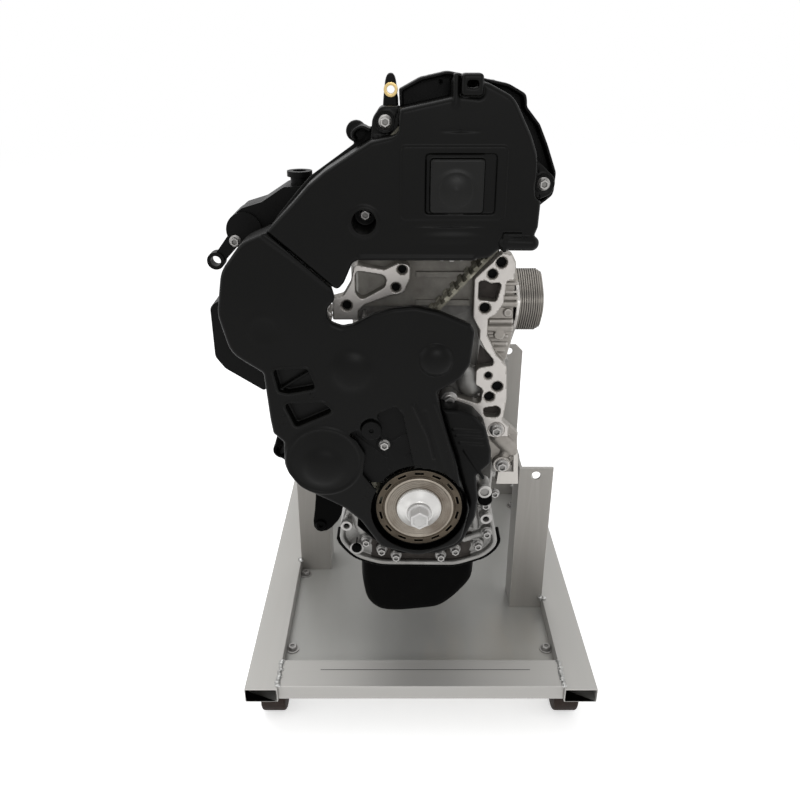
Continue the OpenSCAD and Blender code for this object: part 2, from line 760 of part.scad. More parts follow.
module piston(i) {
  ring_h = 1.5;
  color("lightgray")
    at_engine()
      translate([0, cyl_d(i), crown_z(i) - piston_h])
        difference() {
          cylinder(h = piston_h, r = piston_r);
          translate([0, 0, -eps])
            cylinder(h = piston_h - 14 + eps, r = piston_r - 5);
          translate([0, 0, piston_h - 6])
            cylinder(h = 6 + eps, r = 22);
          for (k = [1 : 3])
            translate([0, 0, piston_h - 3 * k - 2])
              difference() {
                cylinder(h = ring_h, r = piston_r + eps);
                translate([0, 0, -eps])
                  cylinder(h = ring_h + 2 * eps, r = piston_r - 2);
              }
        }
}

module piston_1() { piston(0); }
module piston_2() { piston(1); }
module piston_3() { piston(2); }
module piston_4() { piston(3); }

// ---- Crankshaft nose ----

// A toothed wheel's outline: square-cut teeth on the belt's pitch
function wheel_teeth(teeth, tip_r) = [
  for (i = [0 : teeth - 1], corner = [[-0.32, 0], [-0.18, 1], [0.18, 1], [0.32, 0]])
    let (angle = 360 * (i + corner[0]) / teeth, r = tip_r - tooth_h * (1 - corner[1]))
      [r * cos(angle), r * sin(angle)]];

module toothed_wheel(teeth, front, back) {
  tip_r = teeth * belt_pitch / (2 * PI) - 0.7;
  slab(front, back)
    polygon(wheel_teeth(teeth, tip_r));
}

module crank_sprocket() {
  front = belt_front - 3;
  back = belt_front + belt_w + 0.6;
  color("gray")
    at_engine()
      difference() {
        union() {
          toothed_wheel(crank_teeth, front, back);
          bar(front, front + 1.5, crank_pitch_r + 2);
        }
        bar(front - eps, back + eps, nose_r + fit);
      }
}

module crank_disc() {
  slot_r = disc_r - 6;
  slot_w = 2.4;
  slot_l = 9;
  color("#7a6a5c")
    at_engine()
      difference() {
        union() {
          bar(0, 2.5, disc_r);
          bar(-1.5, 0, disc_r - 11);
          bar(2.5, belt_front - 3, 30);
        }
        bar(-2.5, belt_front, crank_bolt_r + bolt_play);
        for (k = [0 : disc_slots - 1])
          rotate([0, 360 * (k + 0.5) / disc_slots, 0])
            translate([slot_r - slot_w / 2, -eps, -slot_l / 2])
              cube([slot_w, 2.5 + 2 * eps, slot_l]);
      }
}

module crank_washer() {
  depth = 8.5;
  color("whitesmoke")
    at_engine()
      translate([0, -1.5, 0])
        rotate([90, 0, 0])
          rotate_extrude()
            polygon([
              [crank_bolt_r + bolt_play, 0], [22.5, 0], [22.5, 2], [14, depth],
              [crank_bolt_r + bolt_play, depth]]);
}

module crank_bolt() {
  seat = -10;
  color("white")
    at_engine() {
      bar(seat - 3, seat, 12);
      difference() {
        hex(-bolt_reach, seat - 3, 18);
        bar(-bolt_reach - eps, -bolt_reach + 3, 6.5);
      }
      bar(seat, 45, crank_bolt_r);
    }
}

// ---- Head ----

module head_gasket() {
  color("dimgray")
    at_engine()
      translate([0, 0, deck_h])
        linear_extrude(height = gasket_t)
          difference() {
            translate([-block_w / 2, block_front])
              square([block_w, block_back - block_front]);
            for (i = [0 : 3])
              translate([0, cyl_d(i)])
                circle(r = bore_d / 2 + 1);
          }
}

module cylinder_head() {
  port_size = [34, 27];
  port_depth = 25;
  exhaust_z = head_z + 58;
  intake_z = head_z + 51;
  ridge = 4;
  ridge_x = -4;
  color("darkgray")
    at_engine()
      difference() {
        union() {
          translate([head_x[0], head_front, head_z])
            cube([head_x[1] - head_x[0], block_back - head_front, head_h]);
          for (z = [head_z + 2, head_z + 30])
            translate([ridge_x, head_front - ridge, z])
              cube([48 - ridge_x, ridge, 5]);
        }
        for (i = [0 : 3]) {
          cross_duct(head_x[1] - port_depth, head_x[1] + eps, port_size, cyl_d(i), exhaust_z);
          cross_duct(head_x[0] - eps, head_x[0] + port_depth, port_size, cyl_d(i), intake_z);
          for (end = [-1, 1])
            cross_bar(head_x[1] - 20, head_x[1] + eps, 4, cyl_d(i) + end * 28, exhaust_z);
        }
      }
}

// Bearing walls of the camshafts, as depths of their middles
cam_wall = 14;
cam_walls = [for (i = [0 : 4]) block_front + 9 + i * (cam_back - block_front - 18) / 4];

module cam_tunnels() {
  for (i = [0 : 3])
    for (x = cam_x)
      bar(cam_walls[i] + cam_wall / 2, cam_walls[i + 1] - cam_wall / 2, cam_tunnel_r, [x, cam_z]);
  for (x = cam_x)
    bar(x == cam_x[1] ? head_front - eps : block_front, cam_back - 4, cam_journal_r + fit, [x, cam_z]);
}

module cam_carrier() {
  color("silver")
    at_engine()
      difference() {
        translate([cam_x[0] - 28, head_front, head_top])
          cube([cam_x[1] - cam_x[0] + 56, cam_back - head_front, cam_z - head_top]);
        cam_tunnels();
      }
}

module cam_cover() {
  left = cam_x[0] - 28;
  right = cam_x[1] + 28;
  color("#262626")
    at_engine()
      difference() {
        rounded_slab(head_front, cam_back, [
          [left, cam_z, 0], [left, cam_cover_top, 14], [right, cam_cover_top, 14], [right, cam_z, 0]]);
        cam_tunnels();
      }
}

// One cam's outline: a base circle with a smooth nose
function cam_lobe(turn) = [
  for (k = [0 : 35])
    let (angle = 10 * k, lift = 6 * pow(max(0, cos(angle)), 3))
      (cam_journal_r - 1 + lift) * [cos(angle + turn), sin(angle + turn)]];
cam_phase = [0, 270, 90, 180];

module camshaft(x, front) {
  color("gray")
    at_engine()
      union() {
        bar(front, cam_back - 6, cam_r, [x, cam_z]);
        for (d = cam_walls)
          bar(d - cam_wall / 2, d + cam_wall / 2 - (d == cam_walls[4] ? 4 : 0), cam_journal_r, [x, cam_z]);
        for (i = [0 : 3])
          for (end = [-1, 1])
            translate([x, 0, cam_z])
              slab(cam_walls[i] + 38 + end * 14 - 6, cam_walls[i] + 38 + end * 14 + 6)
                polygon(cam_lobe(cam_phase[i] + end * 5));
      }
}

module intake_camshaft() {
  camshaft(cam_x[0], block_front + 1);
}

module exhaust_camshaft() {
  camshaft(cam_x[1], belt_front - 4);
}

module cam_sprocket() {
  front = belt_front - 0.5;
  back = belt_front + belt_w + 0.5;
  spokes = 5;
  color("gray")
    at_engine()
      translate([cam_x[1], 0, cam_z])
        difference() {
          toothed_wheel(2 * crank_teeth, front, back);
          bar(front - eps, back + eps, cam_r + fit);
          bar(front - eps, front + 9, 2 * crank_pitch_r - 10);
          for (k = [0 : spokes - 1])
            rotate([0, k * 360 / spokes, 0])
              bar(front, back + eps, 14, [crank_pitch_r + 6, 0]);
        }
}

module head_bracket() {
  color("gainsboro")
    at_engine()
      difference() {
        rounded_slab(head_front - 12, head_front, head_bracket_outline);
        rounded_slab(head_front - 12 - eps, head_front + eps, head_bracket_window);
        for (h = head_bracket_holes)
          bar(head_front - 12 - eps, head_front + eps, h[2], xz(h));
      }
}

module fuel_rail() {
  rail_r = 7;
  rail_x = head_x[0] + 2;
  foot_h = 3;
  first = cyl_d(0) - 25;
  last = cyl_d(3) + 5;
  color("silver")
    at_engine()
      union() {
        bar(first, last, rail_r, [rail_x, head_top + foot_h + rail_r]);
        for (d = [first + 20, last - 20])
          translate([head_x[0], d - 8, head_top])
            cube([8, 16, foot_h + 3]);
        for (i = [0 : 3])
          translate([rail_x, cyl_d(i) - 10, head_top + foot_h + rail_r])
            cylinder(h = rail_r + 6, r = 4);
      }
}

// ---- Timing drive ----

module timing_belt() {
  color("#2b2a28")
    at_engine()
      slab(belt_front, belt_front + belt_w) {
        difference() {
          polygon(belt_line(belt_back));
          polygon(belt_line(-belt_web));
        }
        // Teeth on the free runs, clear of the wheels at both ends
        for (i = [0 : len(wheels) - 1])
          let (
            run = free_run(i, -belt_web + 0.2),
            length = norm(run[1] - run[0]),
            clear = max(tooth_clear(wheels[i]), tooth_clear(wheels[(i + 1) % len(wheels)])),
            count = floor(length / belt_pitch - 2 * clear / belt_pitch))
            for (k = [0 : count])
              translate(run[0] + (run[1] - run[0]) * (0.5 + (k - count / 2) * belt_pitch / length))
                rotate(run[2])
                  translate([-belt_pitch * 0.25, 0])
                    square([belt_pitch * 0.5, tooth_h]);
      }
}

module pump_bracket() {
  color("silver")
    at_engine()
      difference() {
        union() {
          rounded_slab(cover_back, block_front, pump_bracket_outline);
          bar(cover_back - 2, block_front - 6, 9, [-143, 50]);
        }
        bar(cover_back - 3, block_front + eps, 10 + fit, pump_at);
        bar(cover_back - 3, block_front - 8, 8 + fit, water_at);
        bar(cover_back - 3, block_front - 6 + eps, 5, [-143, 50]);
        rounded_slab(cover_back + 8, block_front + eps, [
          [-120, 84, 8], [-90, 90, 6], [-74, 116, 6], [-74, 150, 6], [-88, 164, 8], [-122, 150, 12]]);
      }
}

module pump_sprocket() {
  front = belt_front - 0.5;
  back = belt_front + belt_w + 0.5;
  color("gray")
    at_engine()
      translate([pump_at[0], 0, pump_at[1]])
        difference() {
          union() {
            toothed_wheel(pump_teeth, front, back);
            bar(back - eps, block_front - 2, 10);
          }
          bar(front - eps, front + 8, pump_pitch_r - 10);
        }
}

module fuel_pump() {
  body_back = block_front + 85;
  color("silver")
    at_engine()
      translate([pump_at[0], 0, pump_at[1]])
        difference() {
          union() {
            bar(block_front, body_back, 28);
            rounded_slab(block_front, block_front + 10, [
              [-38, -22, 10], [38, -22, 10], [30, 34, 10], [-30, 34, 10]]);
            for (turn = [150, 30])
              rotate([0, -turn, 0])
                translate([0, block_front + 45, 0])
                  rotate([0, 90, 0])
                    cylinder(h = 40, r = 11);
            translate([0, block_front + 30, 0])
              cylinder(h = 40, r = 8);
          }
          bar(block_front - eps, block_front + 2, 10 + 1);
        }
}

module water_pump_pulley() {
  pulley_r = water_pulley_d / 2;
  front = belt_front - 0.5;
  back = belt_front + belt_w + 0.5;
  color("gray")
    at_engine()
      translate([water_at[0], 0, water_at[1]])
        difference() {
          union() {
            bar(front, back, pulley_r);
            bar(back - eps, block_front - 9, 8);
          }
          bar(front - eps, back - 6, pulley_r - 5);
        }
}

module tensioner_roller() {
  roller_r = tensioner_d / 2;
  color("gray")
    at_engine()
      translate([tensioner_at[0], 0, tensioner_at[1]])
        difference() {
          bar(belt_front - 0.5, belt_front + belt_w + 0.5, roller_r);
          bar(belt_front - eps, belt_front + belt_w + eps, 8 + fit);
          bar(belt_front - eps, tensioner_seat + 0.3, 14);
        }
}

// ---- Covers ----

// A moulded cover: a front wall and a rim that goes back to the depth back
module shell(outline, front, back) {
  rounded_slab(front, front + cover_wall, outline);
  slab(front + cover_wall - 0.01, back)
    difference() {
      polygon(rounded(outline));
      offset(delta = -cover_wall)
        polygon(rounded(outline));
    }
}

// Room that the belt and the camshaft sprocket need inside a cover
module belt_room() {
  slab(cover_front + cover_wall, cover_back + eps)
    polygon(belt_line(belt_back + 1.2));
}

upper_ear = over_cam([[-45, 35, 0], [-43, 55, 8], [-36, 65, 6], [-20, 65, 2], [-18, 35, 0]]);
right_ear = over_cam([[92, 27, 2], [106, 15, 6], [115, 5, 8], [114, -7, 8], [104, -11, 4], [94, -13, 2]]);

module upper_timing_cover() {
  ear_front = 10;
  recess_r = 10.8;
  dome = [cam_x[1], cam_z];
  color("#3a3a38")
    at_engine()
      difference() {
        union() {
          difference() {
            union() {
              shell(upper_outline, cover_front, cover_back);
              rounded_slab(ear_front, cover_back, upper_ear);
              rounded_slab(ear_front, cover_back, right_ear);
            }
            belt_room();
            // Open at the bottom, where the belt leaves, and at the seam with the lower cover
            slab(cover_front + cover_wall + 4, cover_back + eps)
              polygon(concat(
                [[-150, 290], [-82, 228]],
                over_cam([[-60, -73], [62, -71], [56, -55], [-50, -55]]),
                [[-76, 246]]));
          }
          // Square pad with a rounded dome over the camshaft sprocket
          difference() {
            rounded_slab(cover_front - 3, cover_front + eps, [
              [dome[0] - 26, dome[1] - 26, 4], [dome[0] + 28, dome[1] - 26, 4],
              [dome[0] + 28, dome[1] + 28, 4], [dome[0] - 26, dome[1] + 28, 4]]);
            rounded_slab(cover_front - 3 - eps, cover_front - 1.5, [
              [dome[0] - 22, dome[1] - 22, 4], [dome[0] + 24, dome[1] - 22, 4],
              [dome[0] + 24, dome[1] + 24, 4], [dome[0] - 22, dome[1] + 24, 4]]);
          }
          bar(cover_front - 5, cover_front + eps, 16, dome);
          // Raised clip at the top
          rounded_slab(cover_front - 1, cover_front + 14, over_cam([
            [27, 75, 2], [27, 90.5, 3], [46, 89.5, 4], [48, 73, 3]]));
          // Well around the middle bolt
          bar(cover_front, cover_back, recess_r + 1.7, upper_bolts[2]);
        }
        for (b = [upper_bolts[0], upper_bolts[1]])
          bar(cover_front - eps, ear_front, 8.5, b);
        bar(cover_front - eps, cover_back - 4, recess_r, upper_bolts[2]);
        for (b = upper_bolts)
          bolt_hole(b, cover_front, cover_back + eps);
        bar(cover_front - 2, cover_front + 15, 3, [38, cam_z + 82]);
        // Shallow lines moulded above and below the pad
        for (line = [[26, 47, 40], [28, -33, 62]])
          translate([line[0] - line[2] / 2, cover_front - 1, cam_z + line[1]])
            cube([line[2], 1.8, 1.6]);
      }
}

module lower_timing_cover() {
  collar_r = disc_r + 3;
  domes = [[-65, 155, 17, 4], [14, 166, 16, 7], [-95, 58, 30, 3], [-48, 95, 10, 2]];
  pocket_back = 3.5;
  color("#3a3a38")
    at_engine()
      difference() {
        union() {
          difference() {
            shell(lower_outline, cover_front, cover_back - seam);
            belt_room();
            rounded_slab(cover_front - eps, cover_back + eps, recess_outline);
            bar(cover_front - eps, cover_back + eps, collar_r, [0, 0]);
            bar(cover_front + cover_wall, cover_back + eps, tensioner_d / 2 + 0.6, tensioner_at);
          }
          // Pockets below the pump lobe, between a strip and a diagonal rib
          for (window = [window_1, window_2])
            slab(cover_front + cover_wall - 0.01, pocket_back)
              offset(delta = 1.5)
                polygon(rounded(window));
          for (dome = domes)
            bar(cover_front - dome[3], cover_front + eps, dome[2], xz(dome));
          difference() {
            bar(cover_front - 2, cover_front + eps, 21, [-144, 198]);
            bar(cover_front - 2 - eps, cover_front - 0.5, 17, [-144, 198]);
          }
          // Pillars that stand on the castings behind
          bar(cover_front + cover_wall, cover_back, 4.5, [-176, 205]);
          bar(cover_front + cover_wall, cover_back, 7, [-66, 148]);
        }
        for (window = [window_1, window_2])
          rounded_slab(cover_front - eps, pocket_back - 1.5, window);
      }
}

module inner_timing_cover() {
  lug_front = cover_back - 4;
  pillar_r = 6;
  color("#262624")
    at_engine()
      difference() {
        union() {
          rounded_slab(cover_back, cover_back + cover_wall, inner_outline);
          // Rim along the top, in front of the plate
          slab(cover_back - 15, cover_back)
            difference() {
              polygon(rounded(inner_outline));
              offset(delta = -cover_wall)
                polygon(rounded(inner_outline));
              offset(delta = seam)
                union() {
                  polygon(rounded(upper_outline));
                  polygon(rounded(upper_ear));
                  polygon(rounded(right_ear));
                }
              translate([-200, cam_z - 123])
                square([400, 185]);
            }
          rounded_slab(lug_front, cover_back + 10, over_cam([
            [-35, 66, 0], [-34, 91, 4], [-21, 91, 4], [-20, 66, 0]]));
          rounded_slab(cover_back, cover_back + 10, over_cam([
            [-36, 55, 0], [-35, 69, 0], [-20, 69, 0], [-19, 55, 0]]));
          for (p = [[-45, head_top - 12], [60, head_top - 8], [0, head_top + 18]])
            bar(cover_back, head_front, pillar_r, p);
        }
        bar(cover_back - eps, cover_back + cover_wall + eps, cam_r + 8, [cam_x[1], cam_z]);
        bar(lug_front - eps, cover_back + 10 + eps, bush_r + bolt_play, bush_at);
        for (b = upper_bolts)
          bolt_hole(b, cover_back - eps, cover_back + 12);
      }
}

module brass_bush() {
  color("goldenrod")
    at_engine()
      difference() {
        bar(cover_back - 5, cover_back + 9, bush_r, bush_at);
        bar(cover_back - 6, cover_back + 10, 3.4, bush_at);
      }
}

module lower_inner_cover() {
  plate_t = housing_front - cover_back;
  face_front = cover_back - 23;
  color("#2a2a28")
    at_engine()
      difference() {
        union() {
          rounded_slab(cover_back, cover_back + plate_t, lower_inner_outline);
          // Face and rim to the right of the lower cover and around the crank
          slab(face_front, face_front + cover_wall)
            difference() {
              polygon(rounded(lower_inner_outline));
              offset(delta = seam)
                polygon(rounded(lower_outline));
              translate([-200, -100])
                square([200, 300]);
            }
          slab(face_front, cover_back)
            difference() {
              polygon(rounded(lower_inner_outline));
              offset(delta = -cover_wall)
                polygon(rounded(lower_inner_outline));
              offset(delta = seam)
                polygon(rounded(lower_outline));
              translate([-200, -30])
                square([200, 300]);
            }
        }
        bar(cover_back - eps, housing_front + eps, seal_r + 2);
      }
}

// ---- Castings at the front and rear ----

module front_housing() {
  color("silver")
    at_engine()
      difference() {
        rounded_slab(housing_front, block_front, housing_outline);
        bar(housing_front - eps, block_front + eps, seal_r + fit);
        bar(housing_front - eps, housing_front + 2, seal_r + 6);
        for (b = housing_bolts)
          bolt_hole(b, housing_front - eps, block_front + eps);
      }
}

module rear_plate() {
  wall = 8;
  floor_t = 12;
  color("silver")
    at_engine()
      difference() {
        rounded_slab(block_back, rear_face, rear_outline);
        slab(block_back + floor_t, rear_face + eps)
          offset(delta = -wall)
            polygon(rounded(rear_outline));
        bar(block_back - eps, rear_face, flange_r + 8);
      }
}

module accessory_bracket() {
  front = housing_front;
  face_back = front + 8;
  color("gainsboro")
    at_engine()
      difference() {
        union() {
          rounded_slab(front, face_back + 0.5, accessory_face);
          rounded_slab(face_back, head_front, accessory_back);
          rounded_slab(face_back, head_front, accessory_face);
          // Body beside the head and block that carries the oil cooler
          side_slab(head_x[1], cooler_x, bracket_side);
          intersection() {
            side_slab(block_w / 2 + 4, head_x[1] + 0.5, bracket_side);
            translate([block_w / 2, front, 0])
              cube([block_w, block_back, deck_h - 2]);
          }
          // Oil passages that run across to the cooler's flange
          cross_bar(head_x[1], cooler_x, 3.5, head_front, 205);
          cross_bar(65, cooler_x, 3.5, face_back + 3, 180);
          cross_bar(68, cooler_x, 2.5, face_back + 4, 187);
          for (b = bracket_bolts)
            bar(head_front - eps, block_front, 8, b);
        }
        for (outline = accessory_windows)
          rounded_slab(front - eps, head_front + eps, outline);
        for (h = bracket_holes)
          bar(front - eps, front + 14, h[2], xz(h));
        for (b = bracket_bolts)
          bolt_hole(b, front - eps, block_front + eps);
      }
}

// A plate of the cooler, made smaller all round by inset
function cooler_plate(inset) = [
  for (k = [0 : 3])
    let (a = 45 + 90 * k + cooler_tilt, reach = (cooler_size / 2 - inset) * sqrt(2))
      [cooler_at[0] + reach * cos(a), cooler_at[1] + reach * sin(a), cooler_size / 3]];

module oil_cooler() {
  pitch = cooler_w / cooler_plates;
  first = cooler_x + cooler_flange_t;
  color("lightgray")
    at_engine()
      union() {
        side_slab(cooler_x, first, cooler_flange);
        side_slab(first - 0.01, first + cooler_w - pitch * 0.5, cooler_plate(3));
        for (k = [0 : cooler_plates - 1])
          side_slab(first + k * pitch, first + (k + 0.6) * pitch, cooler_plate(max(0, k - cooler_plates + 3)));
      }
}

module side_housing() {
  back = block_front + 70;
  color("#1d1d1d")
    at_engine()
      union() {
        rounded_slab(block_front, back, side_outline);
        // Ribs down the outer side
        for (k = [0 : 4])
          bar(block_front + 6 + k * 13, block_front + 10 + k * 13, 12, [-197, 168]);
        bar(back, back + 12, 16, [-178, 150]);
      }
}

// Moulded outlet with a round thermostat chamber, a bushed ear and an upright neck
module coolant_outlet() {
  neck_d = block_front + 20;
  ear_front = block_front + 2;
  color("#1d1d1d")
    at_engine()
      difference() {
        union() {
          rounded_slab(block_front, block_front + 40, outlet_outline);
          bar(block_front - 3, block_front + 45, 17, outlet_round);
          bar(ear_front, ear_front + 12, 8.5, outlet_ear);
          rounded_slab(ear_front + 2, ear_front + 10, [
            [outlet_ear[0], outlet_ear[1] + 7, 0], [outlet_ear[0] + 7, outlet_ear[1] - 2, 0],
            [outlet_round[0] - 4, outlet_round[1] - 12, 0], [outlet_round[0] - 14, outlet_round[1] - 2, 0]]);
          translate([outlet_neck[0], neck_d, outlet_neck[1] - eps]) {
            cylinder(h = 9 + eps, r = 9);
            translate([0, 0, 9])
              cylinder(h = 4 + eps, r = 12);
          }
        }
        bar(ear_front - eps, ear_front + 12 + eps, 5, outlet_ear);
        translate([outlet_neck[0], neck_d, outlet_neck[1] - 14])
          cylinder(h = 40, r = 6.5);
        bolt_hole(outlet_bolt, block_front - 4, block_front + 20);
      }
}
outlet_bolt = [outlet_round[0] - 9, outlet_round[1] - 10];

module fasteners() {
  color("whitesmoke") {
    at_engine() {
      for (b = housing_bolts)
        flange_bolt(b, housing_front, block_front - housing_front + 10);
      for (b = bracket_bolts)
        flange_bolt(b, housing_front, block_front - housing_front + 10);
      flange_bolt(outlet_bolt, block_front - 3, 20);
      flange_bolt(upper_bolts[0], 10, 30);
      flange_bolt(upper_bolts[1], 10, 30);
      flange_bolt(upper_bolts[2], cover_back - 4, 12);
      flange_bolt(tensioner_at, tensioner_seat, block_front + 4 - tensioner_seat, 8, 17, 12, 8);
    }
    for (side = [-1, 1])
      for (y = sheet_screw_y)
        translate([side * sheet_screw_x, y, rail_z - 3]) {
          cylinder(h = sheet_t + 3, r = sheet_screw_r);
          cylinder(h = 3, r = 4.5, $fn = 6);
          translate([0, 0, sheet_t + 3])
            cylinder(h = 2.5, r = 4.5);
        }
  }
}

left_rail();
right_rail();
front_crossbar();
rear_crossbar();
base_sheet();
left_side_post();
right_side_post();
left_rear_post();
right_rear_post();
left_side_arm();
right_side_arm();
caster_plates();
caster_fork_1();
caster_fork_2();
caster_fork_3();
caster_fork_4();
caster_wheel_1();
caster_wheel_2();
caster_wheel_3();
caster_wheel_4();
cylinder_block();
bearing_ladder();
oil_sump();
drain_plug();
front_housing();
rear_plate();
head_gasket();
cylinder_head();
cam_carrier();
cam_cover();
head_bracket();
fuel_rail();
crankshaft();
crank_sprocket();
crank_disc();
crank_washer();
crank_bolt();
piston_1();
piston_2();
piston_3();
piston_4();
intake_camshaft();
exhaust_camshaft();
cam_sprocket();
timing_belt();
pump_bracket();
pump_sprocket();
fuel_pump();
water_pump_pulley();
tensioner_roller();
upper_timing_cover();
lower_timing_cover();
inner_timing_cover();
lower_inner_cover();
accessory_bracket();
oil_cooler();
side_housing();
coolant_outlet();
brass_bush();
fasteners();
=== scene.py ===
"""A bare four-cylinder diesel engine on a wheeled aluminium stand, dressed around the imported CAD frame."""
import itertools
import json
import math

import bmesh
import bpy
import numpy as np
from mathutils import Matrix, Vector

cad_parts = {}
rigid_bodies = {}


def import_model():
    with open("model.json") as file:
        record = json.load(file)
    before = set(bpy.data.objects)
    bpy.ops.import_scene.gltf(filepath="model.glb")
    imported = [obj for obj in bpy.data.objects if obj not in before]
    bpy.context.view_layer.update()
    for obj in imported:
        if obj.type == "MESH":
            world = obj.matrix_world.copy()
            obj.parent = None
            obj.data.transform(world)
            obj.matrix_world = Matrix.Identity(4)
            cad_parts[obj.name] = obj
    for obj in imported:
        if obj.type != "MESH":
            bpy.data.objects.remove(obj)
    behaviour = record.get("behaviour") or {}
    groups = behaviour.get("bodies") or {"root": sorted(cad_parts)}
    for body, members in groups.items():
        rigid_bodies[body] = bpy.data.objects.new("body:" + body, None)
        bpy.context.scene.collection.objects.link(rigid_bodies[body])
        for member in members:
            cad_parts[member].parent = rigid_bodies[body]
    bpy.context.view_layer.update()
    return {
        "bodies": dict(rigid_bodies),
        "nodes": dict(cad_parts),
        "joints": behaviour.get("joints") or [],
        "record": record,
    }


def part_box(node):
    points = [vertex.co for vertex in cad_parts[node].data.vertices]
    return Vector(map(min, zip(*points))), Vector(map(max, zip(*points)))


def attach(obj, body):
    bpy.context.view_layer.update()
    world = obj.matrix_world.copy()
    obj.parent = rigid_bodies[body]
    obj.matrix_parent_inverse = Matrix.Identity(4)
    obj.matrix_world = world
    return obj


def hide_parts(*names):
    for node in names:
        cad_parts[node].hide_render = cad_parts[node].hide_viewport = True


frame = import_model()
NODES = frame["nodes"]
MM = 0.001
BODY = {n: b for b, ns in frame["record"]["behaviour"]["bodies"].items() for n in ns}
SLOT = {s["node"]: s["material_slot"] for s in frame["record"]["subparts"]}
# Engine origin: the crankshaft's axis at the front of the slotted disc's rim
_lo, _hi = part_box("crank_disc")
ORIGIN = Vector(((_lo.x + _hi.x) / 2, _lo.y + 1.5 * MM, (_lo.z + _hi.z) / 2))


def at(x, d, z):
    """A point from engine millimetres: across, depth behind the disc, height over the crank."""
    return ORIGIN + Vector((x, d, z)) * MM


def engine_box(node):
    """Lowest and highest corner of a CAD node in engine millimetres."""
    lo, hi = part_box(node)
    return (lo - ORIGIN) / MM, (hi - ORIGIN) / MM


def placed(name, data):
    """A new object in the scene."""
    o = bpy.data.objects.new(name, data)
    bpy.context.scene.collection.objects.link(o)
    return o


def add_node(nt, kind, inputs=None, **settings):
    """A shader node with its settings made and its inputs set or linked."""
    new = nt.nodes.new("ShaderNode" + kind)
    for key, value in settings.items():
        setattr(new, key, value)
    feed(nt, new, inputs or {})
    return new


def feed(nt, node, inputs):
    """Sets or links a node's inputs."""
    for key, value in inputs.items():
        if isinstance(value, bpy.types.NodeSocket):
            nt.links.new(value, node.inputs[key])
        else:
            node.inputs[key].default_value = value


# ---------------------------------------------------------------- materials

MATERIALS = {}
WORN_EDGES = (0.52, 0.58)
TINTED_PATCHES = (0.48, 0.7)


def material(name, base, metal=0.0, rough=0.5, vary=0.12, scale=60.0, bump=0.15, grain=900.0,
             stretch=(1, 1, 1), wear=None, spread=0.1, tint=None, tint_scale=14.0, spec=0.5):
    """A procedural surface: blotchy colour, uneven gloss, fine grain in the bump, and worn edges."""
    m = bpy.data.materials.new(name)
    m.use_nodes = True
    nt = m.node_tree
    where = add_node(nt, "Mapping", {"Vector": add_node(nt, "TexCoord").outputs["Object"], "Scale": stretch})

    def noise(size, detail=4.0, roughness=0.6):
        return add_node(nt, "TexNoise", {"Vector": where.outputs["Vector"], "Scale": size, "Detail": detail,
                                         "Roughness": roughness}).outputs["Fac"]

    def ramp(fac, span, low=(0, 0, 0), high=(1, 1, 1)):
        r = add_node(nt, "ValToRGB", {"Fac": fac})
        for stop, place, shade in zip(r.color_ramp.elements, span, (low, high)):
            stop.position = place
            stop.color = (*shade, 1)
        return r.outputs["Color"]

    def mix(fac, a, b):
        return add_node(nt, "Mix", {0: fac, 6: a, 7: b}, data_type="RGBA").outputs[2]

    dark, light = [c * (1 - vary) for c in base], [min(1, c * (1 + vary)) for c in base]
    colour = ramp(noise(scale), (0.3, 0.7), dark, light)
    if tint:
        colour = mix(ramp(noise(tint_scale, 5.0, 0.65), TINTED_PATCHES), colour, (*tint, 1))
    if wear:
        edges = add_node(nt, "NewGeometry").outputs["Pointiness"]
        colour = mix(ramp(edges, WORN_EDGES), colour, (*wear, 1))
    gloss = add_node(nt, "MapRange", {"Value": noise(scale * 1.7), "To Min": max(0.03, rough - spread),
                                      "To Max": min(1.0, rough + spread)})
    grains = add_node(nt, "Bump", {"Strength": bump, "Distance": 0.0004, "Height": noise(grain, 3.0, 0.55)})
    feed(nt, nt.nodes["Principled BSDF"],
         {"Base Color": colour, "Roughness": gloss.outputs["Result"], "Normal": grains.outputs["Normal"],
          "Metallic": metal, "Specular IOR Level": spec})
    MATERIALS[name] = m


# what several surfaces share
MOULDED = dict(vary=0.10, scale=30, bump=0.10, grain=2600, spread=0.05)
EXTRUDED = dict(metal=0.6, rough=0.54, scale=45, bump=0.14, grain=420, tint=(0.25, 0.24, 0.22),
                wear=(0.5, 0.49, 0.47), spread=0.06)
SAND_CAST = dict(metal=0.6, rough=0.6, vary=0.2, scale=50, bump=0.6, grain=1000)

# plastics, paint and rubber
material("cover_plastic", (0.0018, 0.0018, 0.0016), rough=0.38, spec=0.105, **MOULDED)
# lighter plastic for the square pad: a painted sheen
material("pad_sheen_plastic", (0.009, 0.009, 0.0086), rough=0.34, spec=0.13, **MOULDED)
material("inner_plastic", (0.0045, 0.0045, 0.0044), rough=0.4, vary=0.15, scale=40, bump=0.12, grain=2200,
         spec=0.07)
material("black_paint", (0.0012, 0.0012, 0.0011), rough=0.3, vary=0.2, scale=50, bump=0.10, grain=500,
         spread=0.08, spec=0.02)
# painted shade: near black, for the floors put into drilled holes
material("painted_shade_black", (0.003, 0.003, 0.003), rough=0.8, vary=0.2, spec=0.08)
material("caster_rubber", (0.022, 0.014, 0.011), rough=0.72, vary=0.25, scale=90, bump=0.4, spec=0.25)
material("belt_rubber", (0.14, 0.133, 0.105), rough=0.8, vary=0.3, scale=260, bump=0.5, grain=3000,
         tint=(0.40, 0.385, 0.315), tint_scale=90, spec=0.2)
